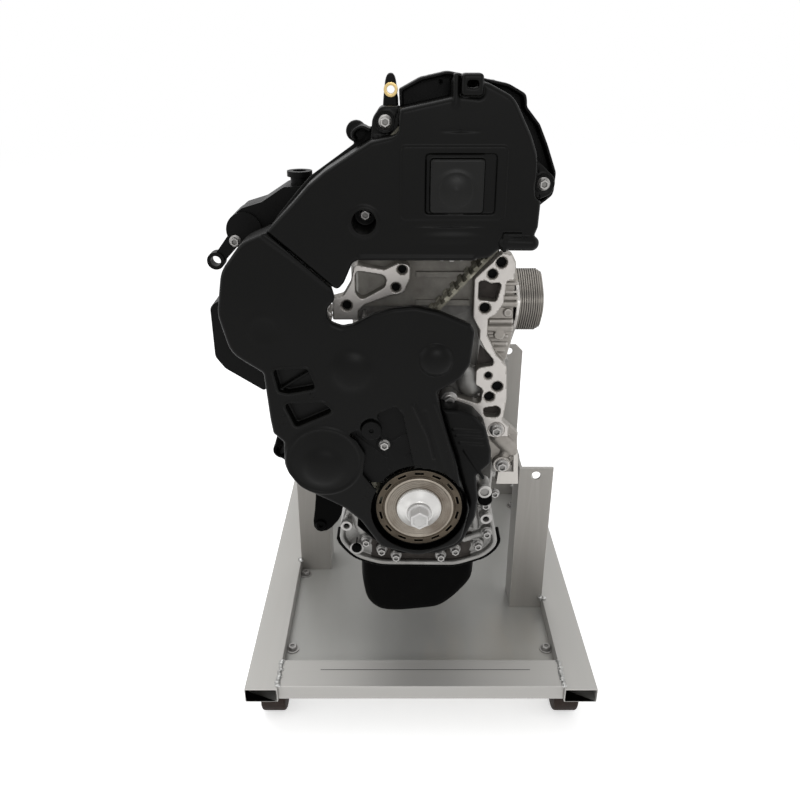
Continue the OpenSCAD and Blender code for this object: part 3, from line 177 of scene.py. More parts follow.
# castings
material("cast_aluminium", (0.245, 0.24, 0.23), metal=0.75, vary=0.15, scale=70, bump=0.5, grain=1300,
         tint=(0.16, 0.152, 0.14), wear=(0.50, 0.49, 0.47))
material("plain_casting", (0.33, 0.322, 0.308), metal=0.7, rough=0.54, scale=70, bump=0.5, grain=1300,
         tint=(0.25, 0.24, 0.225))
material("head_casting", (0.18, 0.172, 0.155), metal=0.7, rough=0.55, vary=0.2, bump=0.5, grain=1200,
         tint=(0.12, 0.11, 0.097))
material("body_casting", (0.27, 0.252, 0.23), metal=0.7, scale=70, bump=0.4, grain=1200,
         tint=(0.20, 0.185, 0.165), wear=(0.5, 0.48, 0.45))
material("cast_iron", (0.10, 0.097, 0.092), tint=(0.07, 0.062, 0.055), wear=(0.22, 0.21, 0.20), **SAND_CAST)
material("iron_casting", (0.16, 0.156, 0.148), tint=(0.11, 0.101, 0.092), **SAND_CAST)
# painted shade: a dark brown casting finish for floors and gaps that the light doesn't reach
material("painted_shade_casting", (0.05, 0.044, 0.04), metal=0.3, rough=0.7, vary=0.3, scale=90, bump=0.4, spec=0.15)
material("machined_aluminium", (0.50, 0.475, 0.452), metal=0.7, rough=0.42, vary=0.08, bump=0.3, grain=1200,
         tint=(0.47, 0.45, 0.425), wear=(0.72, 0.70, 0.68))
material("cooler_aluminium", (0.15, 0.138, 0.122), metal=0.75, rough=0.42, vary=0.14, scale=80, bump=0.25,
         grain=700, wear=(0.22, 0.205, 0.185))
material("piston_alloy", (0.45, 0.445, 0.43), metal=0.8, rough=0.35, vary=0.08, scale=80, grain=700)
# the stand
material("stand_aluminium", (0.30, 0.295, 0.28), vary=0.1, stretch=(1, 0.03, 1), **EXTRUDED)
material("cross_aluminium", (0.215, 0.21, 0.20), vary=0.14, stretch=(0.03, 1, 1), **EXTRUDED)
material("post_aluminium", (0.27, 0.258, 0.24), metal=0.7, vary=0.08, scale=40, grain=420,
         stretch=(1, 1, 0.04), tint=(0.23, 0.218, 0.20), wear=(0.47, 0.46, 0.44))
material("stand_sheet", (0.37, 0.368, 0.352), metal=0.4, rough=0.36, vary=0.05, scale=12, bump=0.05, grain=60,
         stretch=(1, 0.4, 1), tint=(0.42, 0.39, 0.34), tint_scale=4.0, spread=0.06)
# steels and brass
material("zinc_steel", (0.36, 0.36, 0.35), metal=0.85, rough=0.36, scale=90, grain=700, wear=(0.6, 0.6, 0.59))
material("bright_steel", (0.50, 0.495, 0.48), metal=0.9, rough=0.28, vary=0.08, scale=120, bump=0.12,
         wear=(0.72, 0.71, 0.70))
material("head_steel", (0.46, 0.455, 0.445), metal=0.35, rough=0.4, vary=0.08, scale=120, bump=0.12,
         wear=(0.6, 0.59, 0.58))
material("bolt_zinc", (0.175, 0.171, 0.164), metal=0.8, rough=0.38, vary=0.14, scale=120,
         wear=(0.38, 0.37, 0.36))
material("washer_steel", (0.64, 0.632, 0.615), metal=0.55, rough=0.34, vary=0.05, scale=80, bump=0.1,
         grain=700)
material("turned_steel", (0.22, 0.215, 0.205), metal=0.85, rough=0.34, vary=0.14, scale=90, bump=0.2,
         grain=800, tint=(0.15, 0.13, 0.11), wear=(0.4, 0.39, 0.38))
material("disc_steel", (0.05, 0.039, 0.027), metal=0.75, rough=0.46, vary=0.3, scale=55, bump=0.3,
         tint=(0.088, 0.07, 0.049), tint_scale=30, wear=(0.19, 0.16, 0.12))
material("hub_steel", (0.22, 0.196, 0.165), metal=0.8, rough=0.42, scale=70, bump=0.2, grain=800,
         tint=(0.15, 0.125, 0.10), tint_scale=30, wear=(0.36, 0.32, 0.27))
material("gasket_steel", (0.08, 0.08, 0.08), metal=0.7)
material("brass", (0.55, 0.41, 0.18), metal=0.9, rough=0.3, scale=90, bump=0.1)


# ---------------------------------------------------------------- outlines

def area(p):
    q = np.roll(p, -1, 0)
    return 0.5 * float((p[:, 0] * q[:, 1] - q[:, 0] * p[:, 1]).sum())


def roundness(p):
    """1 for a circle, less for any other outline."""
    return 4 * math.pi * abs(area(p)) / np.linalg.norm(p - np.roll(p, -1, 0), axis=1).sum() ** 2


def is_round(p):
    return roundness(p) > 0.95


def mean_radius(p):
    return math.sqrt(abs(area(p)) / math.pi)


def box_ring(x0, z0, x1, z1):
    return np.array([(x0, z0), (x1, z0), (x1, z1), (x0, z1)], float)


def soft(points, passes=2):
    """A closed outline with its corners cut back."""
    p = np.array(points, float)
    for _ in range(passes):
        q = np.roll(p, -1, 0)
        p = np.stack([0.78 * p + 0.22 * q, 0.22 * p + 0.78 * q], 1).reshape(-1, 2)
    return p


def eased(ring, spread, step=2.0):
    """A closed outline with evenly spaced points and its corners drawn out over a length."""
    closed = np.vstack([ring, ring[:1]])
    run = np.concatenate([[0], np.cumsum(np.linalg.norm(np.diff(closed, axis=0), axis=1))])
    spots = np.arange(int(run[-1] / step)) * step
    p = np.stack([np.interp(spots, run, closed[:, k]) for k in (0, 1)], 1)
    weight = np.hanning(2 * int(spread / step) + 3)[1:-1]
    half = len(weight) // 2
    return sum(w * np.roll(p, k - half, 0) for k, w in enumerate(weight / weight.sum()))


def cad_mesh(node):
    """A CAD node's mesh with its split corners joined."""
    bm = bmesh.new()
    bm.from_mesh(NODES[node].data)
    bmesh.ops.remove_doubles(bm, verts=bm.verts, dist=2e-5)
    return bm


SAME_DEPTH = 0.06


def loops(node, depth):
    """The closed outlines of a CAD node's flat faces at one depth, in engine millimetres, largest first."""
    bm = cad_mesh(node)
    y = at(0, depth, 0).y
    faces = [f for f in bm.faces
             if abs(f.normal.y) > 0.99 and abs(f.calc_center_median().y - y) < SAME_DEPTH * MM]
    flat, follow = set(faces), {}
    for f in faces:
        for loop in f.loops:
            if sum(g in flat for g in loop.edge.link_faces) == 1:
                follow.setdefault(loop.vert.index, []).append(loop.link_loop_next.vert.index)
    bm.verts.ensure_lookup_table()
    found = []
    while follow:
        ring, here = [], next(iter(follow))
        while here in follow:
            ring.append(here)
            options = follow[here]
            after = options.pop()
            if not options:
                del follow[here]
            here = after
        if len(ring) > 2:
            spots = [bm.verts[i].co for i in ring]
            found.append(np.array([[(c.x - ORIGIN.x) / MM, (c.z - ORIGIN.z) / MM] for c in spots]))
    bm.free()
    return sorted(found, key=lambda p: -abs(area(p)))


def islands(node):
    """Lowest and highest corner of each separate solid of a CAD node, in engine millimetres."""
    bm = cad_mesh(node)
    left, found = set(bm.verts), []
    while left:
        group, edge = set(), [left.pop()]
        while edge:
            v = edge.pop()
            group.add(v)
            near = {e.other_vert(v) for e in v.link_edges} & left
            left -= near
            edge.extend(near)
        where = np.array([tuple((v.co - ORIGIN) / MM) for v in group])
        found.append((where.min(0), where.max(0)))
    bm.free()
    return sorted(found, key=lambda b: (round(b[0][1], 1), round(b[0][0], 1), round(b[0][2], 1)))


# ---------------------------------------------------------------- solid fields

FAR = 50.0
CORNERS = list(itertools.product((0, 1), repeat=3))


def smooth_min(a, b, k):
    """The lower of two values, with the change from one to the other spread over k."""
    if k <= 0:
        return np.minimum(a, b)
    h = np.clip(0.5 + 0.5 * (b - a) / k, 0, 1)
    return b + (a - b) * h - k * h * (1 - h)


def rounded(a, b, r):
    """The distance to a solid inside two walls, whose shared edge is rounded."""
    a, b = a + r, b + r
    return np.hypot(np.maximum(a, 0), np.maximum(b, 0)) + np.minimum(np.maximum(a, b), 0) - r


def signed_distance(ring, gx, gz):
    """Signed distance from grid points to a closed outline, negative inside."""
    shape = np.broadcast(gx, gz).shape
    best = np.full(shape, 1e9, np.float32)
    inside = np.zeros(shape, bool)
    for (ax, az), (bx, bz) in zip(ring, np.roll(ring, -1, 0)):
        ex, ez = bx - ax, bz - az
        wx, wz = gx - ax, gz - az
        t = np.clip((wx * ex + wz * ez) / max(ex * ex + ez * ez, 1e-9), 0, 1)
        best = np.minimum(best, (wx - t * ex) ** 2 + (wz - t * ez) ** 2)
        cross = (gz >= az) != (gz >= bz)
        if cross.any():
            inside ^= cross & (gx < ax + (gz - az) * ex / (ez if abs(ez) > 1e-9 else 1e-9))
    return np.sqrt(best) * np.where(inside, -1, 1)


class Field:
    """A solid on a grid of signed distances, in engine millimetres, with x across, y depth and z up.

    Each shape is added, or taken away with remove=True, and blends into the rest over the length k.
    """

    def __init__(self, lo, hi, step):
        step *= 1.0
        self.lo, self.step = np.array(lo, np.float32), step
        self.n = (np.ceil((np.array(hi) - self.lo) / step)).astype(int) + 1
        self.axis = [self.lo[k] + step * np.arange(self.n[k], dtype=np.float32) for k in range(3)]
        self.v = np.full(self.n, FAR, np.float32)

    def like(self):
        """An empty field on the same grid."""
        other = Field.__new__(Field)
        other.lo, other.step, other.n, other.axis = self.lo, self.step, self.n, self.axis
        other.v = np.full(self.n, FAR, np.float32)
        return other

    def join(self, other):
        self.v = np.minimum(self.v, other.v)

    def cut(self, other):
        self.v = np.maximum(self.v, -other.v)

    def clip(self, other):
        self.v = np.maximum(self.v, other.v)

    def within(self, ring, grow=0.0):
        """Everything outside an outline in x and z is taken away."""
        gx, _, gz = np.meshgrid(*self.axis, indexing="ij", sparse=True)
        self.v = np.maximum(self.v, (signed_distance(ring, gx, gz) - grow).astype(np.float32))

    def _near(self, lo, hi, k):
        """The part of the grid round a box, and its coordinates along each axis."""
        part = []
        pad = max(k, 0) + 3 * self.step
        for i in range(3):
            a = int(np.clip((lo[i] - pad - self.lo[i]) / self.step, 0, self.n[i]))
            b = int(np.clip((hi[i] + pad - self.lo[i]) / self.step + 2, 0, self.n[i]))
            part.append(slice(a, b))
        spans = [axis[p] for axis, p in zip(self.axis, part)]
        return tuple(part), np.meshgrid(*spans, indexing="ij", sparse=True)

    def _apply(self, part, value, k, remove):
        old = self.v[part]
        self.v[part] = -smooth_min(-old, value, k) if remove else smooth_min(old, value, k)

    def prism(self, ring, y0, y1, r=1.0, k=0.0, remove=False, grow=0.0, back_r=None):
        """An outline in x and z, between two depths, with the front and back edges rounded."""
        (left, low), (right, high) = ring.min(0), ring.max(0)
        part, (gx, gy, gz) = self._near((left, y0, low), (right, y1, high), max(k, 0) + max(grow, 0))
        flat = signed_distance(ring, gx, gz) - grow
        back = rounded(flat, gy - y1, r if back_r is None else back_r)
        self._apply(part, np.maximum(rounded(flat, y0 - gy, r), back), k, remove)

    def side(self, ring, x0, x1, r=1.0):
        """An outline in depth and height, between two places across the engine."""
        (near, low), (far, high) = ring.min(0), ring.max(0)
        part, (gx, gy, gz) = self._near((x0, near, low), (x1, far, high), 0)
        flat = signed_distance(ring, gy, gz)
        self._apply(part, np.maximum(rounded(flat, x0 - gx, r), rounded(flat, gx - x1, r)), 0, False)

    def rod(self, x, z, radius, y0, y1, r=0.8, k=0.0, remove=False):
        """A round boss or hole along the depth."""
        part, (gx, gy, gz) = self._near((x - radius, y0, z - radius), (x + radius, y1, z + radius), k)
        flat = np.hypot(gx - x, gz - z) - radius
        r = min(r, radius * 0.9)
        self._apply(part, np.maximum(rounded(flat, y0 - gy, r), rounded(flat, gy - y1, r)), k, remove)

    def cross_rod(self, x0, x1, y, z, radius, r=0.8, k=0.0, remove=False):
        """A round boss or hole that runs across the engine."""
        part, (gx, gy, gz) = self._near((x0, y - radius, z - radius), (x1, y + radius, z + radius), k)
        ends = np.abs(gx - (x0 + x1) / 2) - (x1 - x0) / 2
        value = rounded(np.hypot(gy - y, gz - z) - radius, ends, r)
        self._apply(part, value.astype(np.float32), k, remove)

    def up_rod(self, x, y, z0, z1, radius, r=0.8, k=0.0):
        """A round boss that stands upright."""
        part, (gx, gy, gz) = self._near((x - radius, y - radius, z0), (x + radius, y + radius, z1), k)
        ends = np.abs(gz - (z0 + z1) / 2) - (z1 - z0) / 2
        value = rounded(np.hypot(gx - x, gy - y) - radius, ends, r)
        self._apply(part, value.astype(np.float32), k, False)

    def ball(self, x, y, z, rx, ry, rz, k=0.0, remove=False):
        part, (gx, gy, gz) = self._near((x - rx, y - ry, z - rz), (x + rx, y + ry, z + rz), k)
        q = np.sqrt(((gx - x) / rx) ** 2 + ((gy - y) / ry) ** 2 + ((gz - z) / rz) ** 2)
        self._apply(part, (q - 1) * min(rx, ry, rz), k, remove)

    def limb(self, a, b, ra, rb=None, k=0.0, remove=False):
        """A capsule from one point to another, with its own radius at each end."""
        rb = ra if rb is None else rb
        a, b = np.array(a, float), np.array(b, float)
        big = max(ra, rb)
        part, g = self._near(np.minimum(a, b) - big, np.maximum(a, b) + big, k)
        e = b - a
        t = np.clip(sum((g[i] - a[i]) * e[i] for i in range(3)) / float(e @ e), 0, 1)
        d = np.sqrt(sum((g[i] - a[i] - t * e[i]) ** 2 for i in range(3)))
        self._apply(part, (d - ra - (rb - ra) * t).astype(np.float32), k, remove)

    def bar(self, a, b, depth, ra, rb=None, k=0.0):
        """A capsule between two places (x, z) at one depth."""
        self.limb((a[0], depth, a[1]), (b[0], depth, b[1]), ra, rb, k)

    def path(self, points, depth, radius, k):
        """Capsules from place to place (x, z) at one depth."""
        for a, b in zip(points, points[1:]):
            self.bar(a, b, depth, radius, k=k)

    def block(self, lo, hi, r=1.0, k=0.0, remove=False):
        lo, hi = np.array(lo, float), np.array(hi, float)
        part, g = self._near(lo, hi, k)
        q = [np.abs(g[i] - (lo[i] + hi[i]) / 2) - (hi[i] - lo[i]) / 2 + r for i in range(3)]
        out = np.sqrt(sum(np.maximum(c, 0) ** 2 for c in q))
        value = out + np.minimum(np.maximum(np.maximum(q[0], q[1]), q[2]), 0) - r
        self._apply(part, value.astype(np.float32), k, remove)

    def hoop(self, x, z, big, y, small, k=0.0, remove=False):
        """A ring of round section that faces the front."""
        reach = big + small
        low, high = (x - reach, y - small, z - reach), (x + reach, y + small, z + reach)
        part, (gx, gy, gz) = self._near(low, high, k)
        value = np.hypot(np.hypot(gx - x, gz - z) - big, gy - y) - small
        self._apply(part, value.astype(np.float32), k, remove)

    def _crossings(self, v, cells):
        """The middle of the places where the surface crosses the edges of each cell."""
        total, hits = np.zeros((len(cells), 3)), np.zeros(len(cells))
        values = {o: v[tuple((cells + o).T)] for o in CORNERS}
        for o in CORNERS:
            for ax in (i for i in range(3) if o[i] == 0):
                va, vb = values[o], values[tuple(1 if i == ax else o[i] for i in range(3))]
                hit = (va < 0) != (vb < 0)
                step = np.zeros((len(cells), 3)) + o
                step[:, ax] = np.where(hit, va / np.where(hit, va - vb, 1), 0)
                total += step * hit[:, None]
                hits += hit
        return cells + total / hits[:, None] - 1

    def mesh(self, name, keep):
        """Surface nets: a vertex in each cell that the surface crosses, a quad for each edge it crosses."""
        v = np.pad(self.v, 1, constant_values=FAR)
        inside = v < 0
        half = (slice(0, -1), slice(1, None))
        count = sum(inside[half[i], half[j], half[k]].astype(np.int8) for i, j, k in CORNERS)
        cells = np.argwhere((count > 0) & (count < 8))
        index = np.full(count.shape, -1, np.int64)
        index[tuple(cells.T)] = np.arange(len(cells))
        faces = []
        for ax in range(3):
            one, two = (inside[tuple(h if i == ax else slice(None) for i in range(3))] for h in half)
            edges = np.argwhere(one != two)
            u, w = (ax + 1) % 3, (ax + 2) % 3
            edges = edges[(edges[:, u] > 0) & (edges[:, w] > 0)]
            quad = []
            for du, dw in ((-1, -1), (0, -1), (0, 0), (-1, 0)):
                cell = edges.copy()
                cell[:, u] += du
                cell[:, w] += dw
                quad.append(index[tuple(cell.T)])
            quad = np.stack(quad, 1)
            flip = ~one[tuple(edges.T)]
            quad[flip] = quad[flip][:, ::-1]
            faces.append(quad)
        faces = np.concatenate(faces)
        faces = faces[(faces >= 0).all(1)]
        points = (self.lo + self._crossings(v, cells) * self.step) * MM + np.array(ORIGIN)
        me = bpy.data.meshes.new(name)
        me.from_pydata(points.tolist(), [], faces.tolist())
        me.validate()
        o = placed(name, me)
        o.modifiers.new("thin", "DECIMATE").ratio = keep
        apply_modifiers(o)
        self._smooth(o.data)
        return o

    def _smooth(self, me):
        """Normals from the field's own slope."""
        me.shade_smooth()
        where = np.empty(len(me.vertices) * 3, np.float32)
        me.vertices.foreach_get("co", where)
        where = (where.reshape(-1, 3) - np.array(ORIGIN)) / MM
        reach = np.eye(3) * self.step * 0.6
        slope = np.stack([self.sample(where + e) - self.sample(where - e) for e in reach], 1)
        slope /= np.maximum(np.linalg.norm(slope, axis=1, keepdims=True), 1e-6)
        me.normals_split_custom_set_from_vertices(slope.tolist())

    def sample(self, points):
        """The field between its grid points."""
        g = np.clip((points - self.lo) / self.step, 0, np.array(self.n) - 1.001)
        cell = g.astype(int)
        t = g - cell
        return sum(np.where(o, t, 1 - t).prod(1) * self.v[tuple((cell + o).T)] for o in CORNERS)


def field_round(node, step, room=2.0, behind=None):
    """A field with room round a CAD node, and the node's corners."""
    lo, hi = engine_box(node)
    spare = Vector((room, room, room))
    far = Vector((room, room if behind is None else behind, room))
    return Field(lo - spare, hi + far, step), lo, hi


# ---------------------------------------------------------------- pieces

def apply_modifiers(o):
    depsgraph = bpy.context.evaluated_depsgraph_get()
    depsgraph.update()
    me = bpy.data.meshes.new_from_object(o.evaluated_get(depsgraph))
    o.modifiers.clear()
    o.data = me
    return o


DONE = set()


def stand_for(piece, node, mat=None):
    """The piece takes a CAD node's place and body, and the finish given or else the material of the node's
    slot.
    """
    DONE.add(node)
    piece.data.materials.clear()
    piece.data.materials.append(MATERIALS[mat or SLOT[node]])
    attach(piece, BODY[node])
    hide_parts(node)
    return piece


def extra(piece, mat, body="root"):
    """A piece that the CAD model has no node for."""
    piece.data.materials.clear()
    piece.data.materials.append(MATERIALS[mat])
    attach(piece, body)


def painted(piece, mat, chosen):
    """The faces chosen by their centre, in engine millimetres, and their normal get another finish."""
    piece.data.materials.append(MATERIALS[mat])
    for p in piece.data.polygons:
        if chosen((p.center - ORIGIN) / MM, p.normal):
            p.material_index = 1


def milled(piece, front):
    """The flat faces in the front plane are machined."""
    painted(piece, "machined_aluminium", lambda c, n: n.y < -0.96 and c.y < front + 0.6)


def auto_smooth(me, degrees=32):
    me.shade_smooth()
    me.set_sharp_from_angle(angle=math.radians(degrees))


def dress(node, width, mat=None):
    """A copy of a CAD node with its flat faces made whole and its hard edges rounded."""
    bm = cad_mesh(node)
    bmesh.ops.dissolve_limit(bm, angle_limit=math.radians(0.6), verts=bm.verts, edges=bm.edges)
    edges = [e for e in bm.edges if len(e.link_faces) == 2 and e.calc_face_angle(0) > math.radians(35)]
    if node == "cylinder_block":  # its bores keep their exact walls, so that the pistons run free
        edges = [e for e in edges if all(abs(v.co.x - ORIGIN.x) > FREE_BORES * MM for v in e.verts)]
    if edges:
        bmesh.ops.bevel(bm, geom=edges, offset=width * MM, offset_type="OFFSET", segments=2, profile=0.6,
                        affect="EDGES", clamp_overlap=True, miter_outer="ARC", harden_normals=False)
    bmesh.ops.triangulate(bm, faces=[f for f in bm.faces if len(f.verts) > 4])
    me = bpy.data.meshes.new(node + "_dressed")
    bm.to_mesh(me)
    bm.free()
    auto_smooth(me)
    o = placed(node + "_dressed", me)
    o.modifiers.new("even", "WEIGHTED_NORMAL").keep_sharp = True
    return stand_for(apply_modifiers(o), node, mat)


def made(name, maker, sharp=32):
    """A new object from a function that fills a bmesh with closed shells."""
    bm = bmesh.new()
    maker(bm)
    bmesh.ops.recalc_face_normals(bm, faces=bm.faces)
    me = bpy.data.meshes.new(name)
    bm.to_mesh(me)
    bm.free()
    auto_smooth(me, sharp)
    return placed(name, me)


def revolve(bm, profile, centre=(0, 0), steps=40, upright=None):
    """A closed profile of (radius, depth), turned round a line along the depth, or upright at a depth."""
    rings = []
    for r, y in profile:
        spots = []
        for k in range(steps if r > 0 else 1):
            a = 2 * math.pi * (k + 0.5) / steps
            u, w = centre[0] + r * math.cos(a), r * math.sin(a)
            spots.append(at(u, y, centre[1] + w) if upright is None else at(u, upright + w, y))
        rings.append([bm.verts.new(v) for v in spots])
    for a, b in zip(rings, rings[1:] + rings[:1]):
        if len(a) == len(b) == 1:
            continue
        for k in range(steps):
            loop = []
            for v in (a[k % len(a)], a[(k + 1) % len(a)], b[(k + 1) % len(b)], b[k % len(b)]):
                if v not in loop:
                    loop.append(v)
            bm.faces.new(loop)


def disc(bm, centre, radius, back, face, steps=28, edge=None):
    """A short round bar along the depth. Its front edge may be cut back, by (radius, depth)."""
    rim = [(radius, face + edge[1]), (radius - edge[0], face)] if edge else [(radius, face)]
    revolve(bm, [(0, back), (radius, back), *rim, (0, face)], centre, steps)


def plate(bm, ring, y0, y1):
    """A closed outline in x and z made into a thin solid."""
    front = [bm.verts.new(at(x, y0, z)) for x, z in ring]
    back = [bm.verts.new(at(x, y1, z)) for x, z in ring]
    bm.faces.new(front)
    bm.faces.new(back[::-1])
    for k in range(len(ring)):
        j = (k + 1) % len(ring)
        bm.faces.new((front[k], back[k], back[j], front[j]))


def bolt(bm, centre, seat, af, flange, head, shank, reach):
    """A flanged hexagon bolt whose dished head faces the front."""
    corner, top = af / math.sqrt(3), seat - head
    revolve(bm, [(0, seat + reach), (shank, seat + reach), (shank, seat), (flange, seat),
                 (flange, seat - 0.9), (flange * 0.93, seat - 1.5), (af * 0.54, seat - 2.4),
                 (0, seat - 2.4)], centre, 36)
    inner = corner * 0.56
    revolve(bm, [(0, seat - 1), (corner, seat - 1), (corner, top + 0.9), (corner * 0.9, top), (inner, top),
                 (inner * 0.86, top + 1.5), (0, top + 1.5)], centre, 6)


# ---------------------------------------------------------------- places taken from the frame

FRONT = engine_box("lower_timing_cover")[0].y + 7.0  # the covers' front wall
BACK = engine_box("upper_timing_cover")[1].y
HOUSING = engine_box("front_housing")[0].y  # the front of the bright parts
DISC_EDGE = engine_box("crank_disc")[1].x
_lo, _hi = engine_box("cam_sprocket")
CX, CZ = (_lo.x + _hi.x) / 2, (_lo.z + _hi.z) / 2
WALL = 3.2  # of the moulded covers
EAR_FACE = 10  # the front of the upper cover's ears
COVER_BOLTS = ((CX - 59, CZ + 53), (CX + 78, CZ + 2))
COVER_WELL = (CX - 78, CZ - 28)
FREE_BORES = 52  # edges of the block nearer the middle than this stay sharp
SLEEVES = ((-78, -44), (74, -35))
BRACKET_BOLTS = ((80, 72), (88, 30))
FASTENERS = islands("fasteners")


def nearest(spot, spots):
    return min(math.dist(spot, s) for s in spots)


def faces_front(lo, hi):
    """True for a bolt along the depth, False for an upright screw."""
    return hi[1] - lo[1] > 12


def middle(lo, hi):
    return (lo[0] + hi[0]) / 2, (lo[2] + hi[2]) / 2


FRONT_BOLTS = [middle(lo, hi) for lo, hi in FASTENERS
               if faces_front(lo, hi) and abs(lo[1] - HOUSING + 6) < 1 and lo[2] < 20
               and nearest(middle(lo, hi), BRACKET_BOLTS) > 4]


def outline(node, depth):
    return loops(node, depth)[0]


def cover_ears():
    """The ears of the upper cover's two outer bolts."""
    return [ring for ring in loops("upper_timing_cover", EAR_FACE) if abs(area(ring)) > 60]


def lip_outline():
    """The front housing's outline, with its lower corners drawn out."""
    ring = outline("front_housing", engine_box("front_housing")[1].y)
    smooth, plain = eased(ring, 15), eased(ring, 2)
    blend = np.clip((-24 - plain[:, 1:]) / 16, 0, 1)
    return plain + (smooth - plain) * blend


# ---------------------------------------------------------------- timing covers

PAD = (-18, -17, 22, 22)


def cam_box(x0, z0, x1, z1):
    """A rectangle placed from the camshaft's axis."""
    return box_ring(CX + x0, CZ + z0, CX + x1, CZ + z1)


def upper_cover():
    f = Field((-142, FRONT - 8, 228), (122, BACK + 1.5, 418), 1.15)
    body = outline("upper_timing_cover", FRONT)
    f.prism(body, FRONT, BACK, r=4.2, back_r=0.4)
    # the ears stand behind the front wall, each in its own pocket, with a sunk seat for the bolt
    for ear in cover_ears():
        f.prism(ear, EAR_FACE, BACK, r=1.6, back_r=0.4)
    for (x, z), (left, low, right, high) in zip(COVER_BOLTS, ((-34, -4, 5.5, 34), (-3, -6, 34, 24))):
        pocket = box_ring(x + left, z + low, x + right, z + high)
        f.prism(pocket, FRONT - 12, EAR_FACE, r=0.1, remove=True, grow=6, k=2.0)
    for x, z in COVER_BOLTS:
        f.rod(x, z, 10.2, EAR_FACE, BACK, r=1.4)
        f.rod(x, z, 8.2, EAR_FACE - 1, EAR_FACE + 0.7, r=0.2, remove=True)
    # square pad over the camshaft sprocket: a faint plateau, a sunk frame, a square and a soft round dome
    f.prism(cam_box(-42, -22, 40, 31), FRONT - 1.2, FRONT + 3, r=0.8, grow=4, k=1.0)
    f.prism(cam_box(-22, -18, 32, 26), FRONT - 8, FRONT + 1.2, r=1.0, grow=3, remove=True, k=1.4)
    f.prism(cam_box(*PAD), FRONT - 2.8, FRONT + 4, r=1.6, grow=3, k=0.6)
    x, z = CX + 1, CZ - 1
    f.ball(x, FRONT + 2, z, 21, 8.6, 20, k=1.0)
    f.hoop(x, z, 15.5, FRONT - 4.6, 1.0, k=0.8, remove=True)
    f.ball(x, FRONT - 5.6, z, 3.6, 1.3, 3.6, k=0.6)
    # moulded lines above and below the pad
    for x0, x1, z in ((CX - 13, CX + 20, CZ + 47), (CX - 34, CX + 28, CZ - 31.5)):
        for x in (x0, x1):
            f.limb((x, FRONT - 0.6, z), ((x0 + x1) / 2, FRONT - 0.1, z), 0.7, 1.35, k=0.5, remove=True)
    f.ball(CX - 2, FRONT + 1.5, CZ - 42, 30, 2.6, 5.5, k=1.2)
    # lip along the lower edge
    f.bar((-55, CZ - 59.5), (CX + 18, CZ - 59.8), FRONT + 1.5, 2.6, k=1.2)
    # clip at the lower right corner
    f.bar((CX + 46, CZ - 46), (CX + 69, CZ - 47), FRONT + 2.5, 7.4, 6.6, k=1.2)
    f.block((CX + 43, FRONT - 4.6, CZ - 54), (CX + 47, FRONT + 10, CZ - 37), r=1.4, k=0.8)
    f.block((CX + 43, FRONT - 4.6, CZ - 41), (CX + 60, FRONT + 10, CZ - 37), r=1.4, k=0.8)
    # clip at the top, with its slot
    f.block((CX - 3, FRONT - 0.5, CZ + 66), (CX + 1, FRONT + 14, CZ + 91), r=1.2, k=2.0)
    f.block((CX + 3, FRONT - 4, CZ + 74), (CX + 21, FRONT + 12, CZ + 91.2), r=3.0, k=1.5)
    f.block((CX + 7.5, FRONT - 8, CZ + 80), (CX + 17, FRONT + 15, CZ + 86), r=2.6, remove=True, k=0.8)
    # well around the middle bolt, with a soft rim
    f.rod(*COVER_WELL, 13.2, FRONT - 0.9, FRONT + 4, r=1.4, k=3.0)
    f.rod(*COVER_WELL, 10.4, FRONT - 8, BACK - 4, r=0.4, remove=True, k=1.0)
    # hollow behind the wall, except at the bolts, and open at the bottom for the belt
    g = f.like()
    g.prism(body, FRONT + WALL, BACK + 8, grow=-WALL)
    g.rod(*COVER_WELL, 12.6, FRONT - 8, BACK + 8, r=0.2, remove=True)
    for x, z in COVER_BOLTS:
        g.rod(x, z, 12, FRONT, BACK + 8, r=0.2, remove=True)
    low = np.array([(-150, 290), (-82, 228), (CX - 87, CZ - 73), (CX + 35, CZ - 71), (CX + 29, CZ - 55),
                    (CX - 77, CZ - 55), (-76, 246)])
    g.prism(low, FRONT + 6.5, BACK + 8, r=0.6)
    f.cut(g)
    cover = stand_for(f.mesh("upper_cover_moulding", 0.5), "upper_timing_cover", "cover_plastic")
    # the pad's front faces are painted lighter, a painted sheen
    x0, z0, x1, z1 = np.add(PAD, (-2.4, -2.4, 2.4, 2.4))
    painted(cover, "pad_sheen_plastic",
            lambda c, n: c.y < FRONT + 2 and x0 < c.x - CX < x1 and z0 < c.z - CZ < z1)


SEAM = ((-139, FRONT + 2.2, 283), (-113, FRONT + 2.0, 263), (-84, FRONT + 2.2, 238))
ARM_RIBS = (((-6, 119), (2, 100), (9, 84), (14, 62)), ((15, 121), (25, 92), (34, 62), (39, 30), (40, 12)))
PANEL_RIBS = (((-62, 86), (-34, 60)), ((-50, 116), (-36, 78)), ((-34, 70), (-30, 46)), ((-30, 76), (-8, 92)),
              ((-14, 60), (4, 78)))
PANEL_BOLT = (-35, 74.5)
PANEL_BOSS = (-47.6, 91.5)


